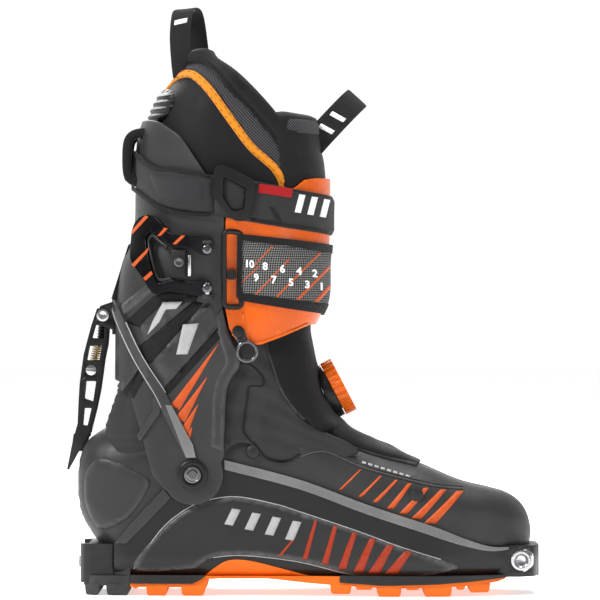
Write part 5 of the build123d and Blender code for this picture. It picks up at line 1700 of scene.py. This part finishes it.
def buckle_details():
    """Orange flashes on the lever, its fork and black inner edge, the buckle ring and the knuckle screws."""
    flashes = [[(-92.6, 231.2), (-90.4, 231.4), (-85.8, 236), (-88, 236.6)],
               [(-82.8, 226), (-80.4, 225.8), (-74.6, 231.2), (-77, 231.6)],
               [(-109.2, 235.4), (-109.6, 232.4), (-98.6, 243.6), (-100.6, 244.6)],
               [(-109.4, 213), (-107.8, 211.4), (-99.2, 220.6), (-98.2, 224)],
               [(-101.6, 204.4), (-100.2, 202.6), (-95.4, 207), (-96.6, 208.8)]]
    for i, points in enumerate(flashes):
        piece = skin(f"lever_flash_{i}", leg, side_ring(leg, points, 1.2, 9.0), 8.7, 9.15, STRIPE, edge=0.0,
                     grid=1.6)
        done(piece, "buckle_lever", "orange_plastic")
    fork = smooth([(-104.5, 243.5), (-101.5, 244.9), (-98.1, 244.7), (-94.2, 243.5), (-90.4, 240),
                   (-85.7, 233.8),
                   (-80.9, 232.7), (-69, 231.2), (-58.6, 230), (-56.6, 227.6), (-57.6, 221)], 2)
    fork += smooth([(-60.1, 218.6), (-64.9, 219.3), (-69.4, 221.7), (-74.3, 224.1), (-84, 225.3),
                    (-89.6, 229.6),
                    (-94.4, 233.4), (-98.4, 233), (-100.1, 229.1), (-98.6, 220), (-97, 213.5), (-93.6, 203.6),
                    (-91.4, 201), (-85, 202.3), (-75.6, 201.3), (-70.6, 200.9), (-66.6, 203.1), (-60, 202.6)],
                    2)
    fork += smooth([(-58, 200.6), (-57.6, 195.4), (-60, 193.2), (-64.5, 192.7), (-75.6, 194.4),
                    (-85.7, 195.8),
                    (-93.9, 194), (-98, 197.6), (-102, 204.2), (-106.4, 210), (-109.4, 214.6), (-110.4, 219),
                    (-110, 229), (-109.1, 236), (-107.2, 240.6)], 2)
    done(skin("lever_fork", leg, side_ring(leg, fork, 1.6, 8.0), 5.7, 8.7, LEVER, edge=0.9, grid=2.2),
         "buckle_lever",
         "lever_alloy", "buckle_lever")
    border = [(-86, 224), (-91, 228), (-95, 231.6), (-97.4, 230.6), (-98.2, 227), (-96.8, 219.6),
              (-95, 212.8),
              (-92.6, 205.6), (-90, 203.2), (-84, 204)]
    curve = smooth(border, 1.6)
    edge_path = [leg.point(*leg.place(x, z, 7.4), 7.4) for x, z in curve]
    done(sweep("lever_inner_edge", edge_path, 1.1, BLACK, parts=10), "buckle_lever", "black_plastic")
    ring_line = rounded_corners([(-49.9, 234.4), (-38.8, 233.4), (-38.8, 185.6), (-49.9, 186)], 3.6, 6)
    ring_path = []
    for x, z in dense(ring_line, 1.5):
        lift = 4.6 - 4.6 * max(0.0, min(1.0, (x + 49.9) / 11.1)) ** 1.5
        ring_path.append(leg.point(*leg.place(x, z, lift), lift))
    done(sweep("ring_loop", ring_path, 1.75, BLACK, parts=16, closed=True), "buckle_ring", "lever_alloy",
         "buckle_ring")
    for z, label in ((222.6, "upper"), (197.8, "lower")):
        screw = lathe(f"knuckle_screw_{label}", (-60.6, -60.2 + MID, z), (0, -1, 0),
                      [(2.9, -0.6), (2.9, 0.4), (2.3, 0.9), (1.3, 0.95), (1.1, 0.3), (0.2, 0.3)], STEEL_DARK,
                      32)
        done(screw, "buckle_lever", "dark_steel")


def toe_plates():
    """The cast steel face round each toe socket, a rounded five-sided plate with the socket left open."""
    corners = rounded_corners([(-6.4, 5.4), (2.2, 7.2), (8.2, 4.6), (8.0, -3.4), (2.0, -8.0), (-5.0, -6.0)],
                              1.8)
    for side, label in ((OUTER, "outer"), (INNER, "inner")):
        face = 30.9
        verts, faces = [], []
        count = 60
        for out in (-0.4, 0.5):
            for k in range(count):
                angle = 2 * math.pi * k / count
                c, s = math.cos(angle), math.sin(angle)
                reach = min(edge_reach(a, b, c, s) for a, b in zip(corners, corners[1:] + corners[:1]))
                for r in (3.3, 3.9, reach - 0.5, reach):
                    drop = 0.3 if r in (3.3, reach) and out > 0 else 0
                    verts.append((TOE_SOCKET[0] + c * r, side * (face + out - drop) + MID,
                                  TOE_SOCKET[1] + s * r))
        for layer in (0, 1):
            for k in range(count):
                a, b = (layer * count + k) * 4, (layer * count + (k + 1) % count) * 4
                faces += [(a + i, a + i + 1, b + i + 1, b + i) for i in range(3)]
        for k in range(count):
            a, b, up = 4 * k, 4 * ((k + 1) % count), 4 * count
            faces += [(a, b, b + up, a + up), (a + 3, b + 3, b + 3 + up, a + 3 + up)]
        done(fix_normals(new_object(f"toe_plate_{label}", verts, faces, STEEL)), "shell", "bright_steel")


def edge_reach(a, b, c, s):
    """How far a ray from the middle in the direction (c, s) goes before it meets an outline's edge."""
    ex, ez = b[0] - a[0], b[1] - a[1]
    cross = c * ez - s * ex
    if abs(cross) < 1e-9:
        return 99.0
    t = (a[0] * ez - a[1] * ex) / cross
    along = (a[0] * s - a[1] * c) / cross
    return t if t > 0 and -1e-6 <= along <= 1 + 1e-6 else 99.0


def dome():
    """The dark round cover on the shell in front of the ankle."""
    piece = lathe("ankle_dome", (-31.8, -39.3 + MID, 92.8), (0, -1, 0),
                  [(4.6, -1.2), (4.6, 0.8), (4.0, 1.9), (2.8, 2.6), (1.4, 2.9), (0.2, 3.0)], DARK, 40)
    done(piece, "shell", "dark_steel")


# ---------------------------------------------------------------- stage
def stage():
    """Pale floor, soft lights and the camera at the boot's outer side."""
    floor_material = bpy.data.materials.new("floor_pale")
    floor_material.use_nodes = True
    shader = floor_material.node_tree.nodes["Principled BSDF"]
    shader.inputs["Base Color"].default_value = (0.86, 0.86, 0.86, 1)
    shader.inputs["Roughness"].default_value = 0.9
    shader.inputs["Emission Color"].default_value = (1, 1, 1, 1)
    shader.inputs["Emission Strength"].default_value = 0.55
    size = 9000
    floor = new_object("floor", [(-size, -size, 0), (size, -size, 0), (size, size, 0), (-size, size, 0)],
                       [(0, 1, 2, 3)], floor_material, flat=True)
    world = bpy.data.worlds.new("studio")
    bpy.context.scene.world = world
    world.use_nodes = True
    tree = world.node_tree
    heading = tree.nodes.new("ShaderNodeSeparateXYZ")
    tree.links.new(tree.nodes.new("ShaderNodeTexCoord").outputs["Generated"], heading.inputs[0])
    span = tree.nodes.new("ShaderNodeMapRange")
    span.interpolation_type = "SMOOTHSTEP"
    span.inputs["From Min"].default_value = -0.1
    span.inputs["From Max"].default_value = 0.75
    span.inputs["To Min"].default_value = 0.22
    span.inputs["To Max"].default_value = 1.05
    tree.links.new(heading.outputs["Y"], span.inputs["Value"])
    tree.links.new(span.outputs["Result"], tree.nodes["Background"].inputs["Strength"])
    tree.nodes["Background"].inputs["Color"].default_value = (1, 1, 1, 1)
    lights = [("key", (-1.2, -1.0, 1.5), 0.5, 34), ("fill", (1.6, -1.5, 0.5), 1.0, 7),
              ("back", (-0.6, 1.4, 1.3), 1.0, 20),
              ("top", (0.3, 0.0, 1.7), 0.8, 18)]
    for name, place, width, power in lights:
        light = bpy.data.lights.new(name, "AREA")
        light.size = width
        light.energy = power
        lamp = bpy.data.objects.new(name, light)
        lamp.location = place
        aim = Vector((0, 0, 0.17)) - Vector(place)
        lamp.rotation_euler = aim.to_track_quat("-Z", "Y").to_euler()
        bpy.context.scene.collection.objects.link(lamp)
    camera_data = bpy.data.cameras.new("camera")
    camera = bpy.data.objects.new("camera", camera_data)
    bpy.context.scene.collection.objects.link(camera)
    distance = 2.6
    frame_width = 0.384
    near_side = 0.045
    camera_data.sensor_width = 36
    camera_data.lens = 36 * (distance - near_side) / frame_width
    camera_data.clip_end = 60
    camera.location = (-0.0014, -distance, 0.1903)
    camera.rotation_euler = (math.radians(90), 0, 0)
    bpy.context.scene.camera = camera
    bpy.context.scene.view_settings.view_transform = "Standard"


stage()
lower_shell()
shell_details()
sole_frame()
soles()
cuff_shell()
skeleton()
cuff_graphics()
achilles()
tongue()
closure_strap()
top_straps()
liner()
loops()
gaiter()
gaiter_edge()
ankle_lines()
hardware()
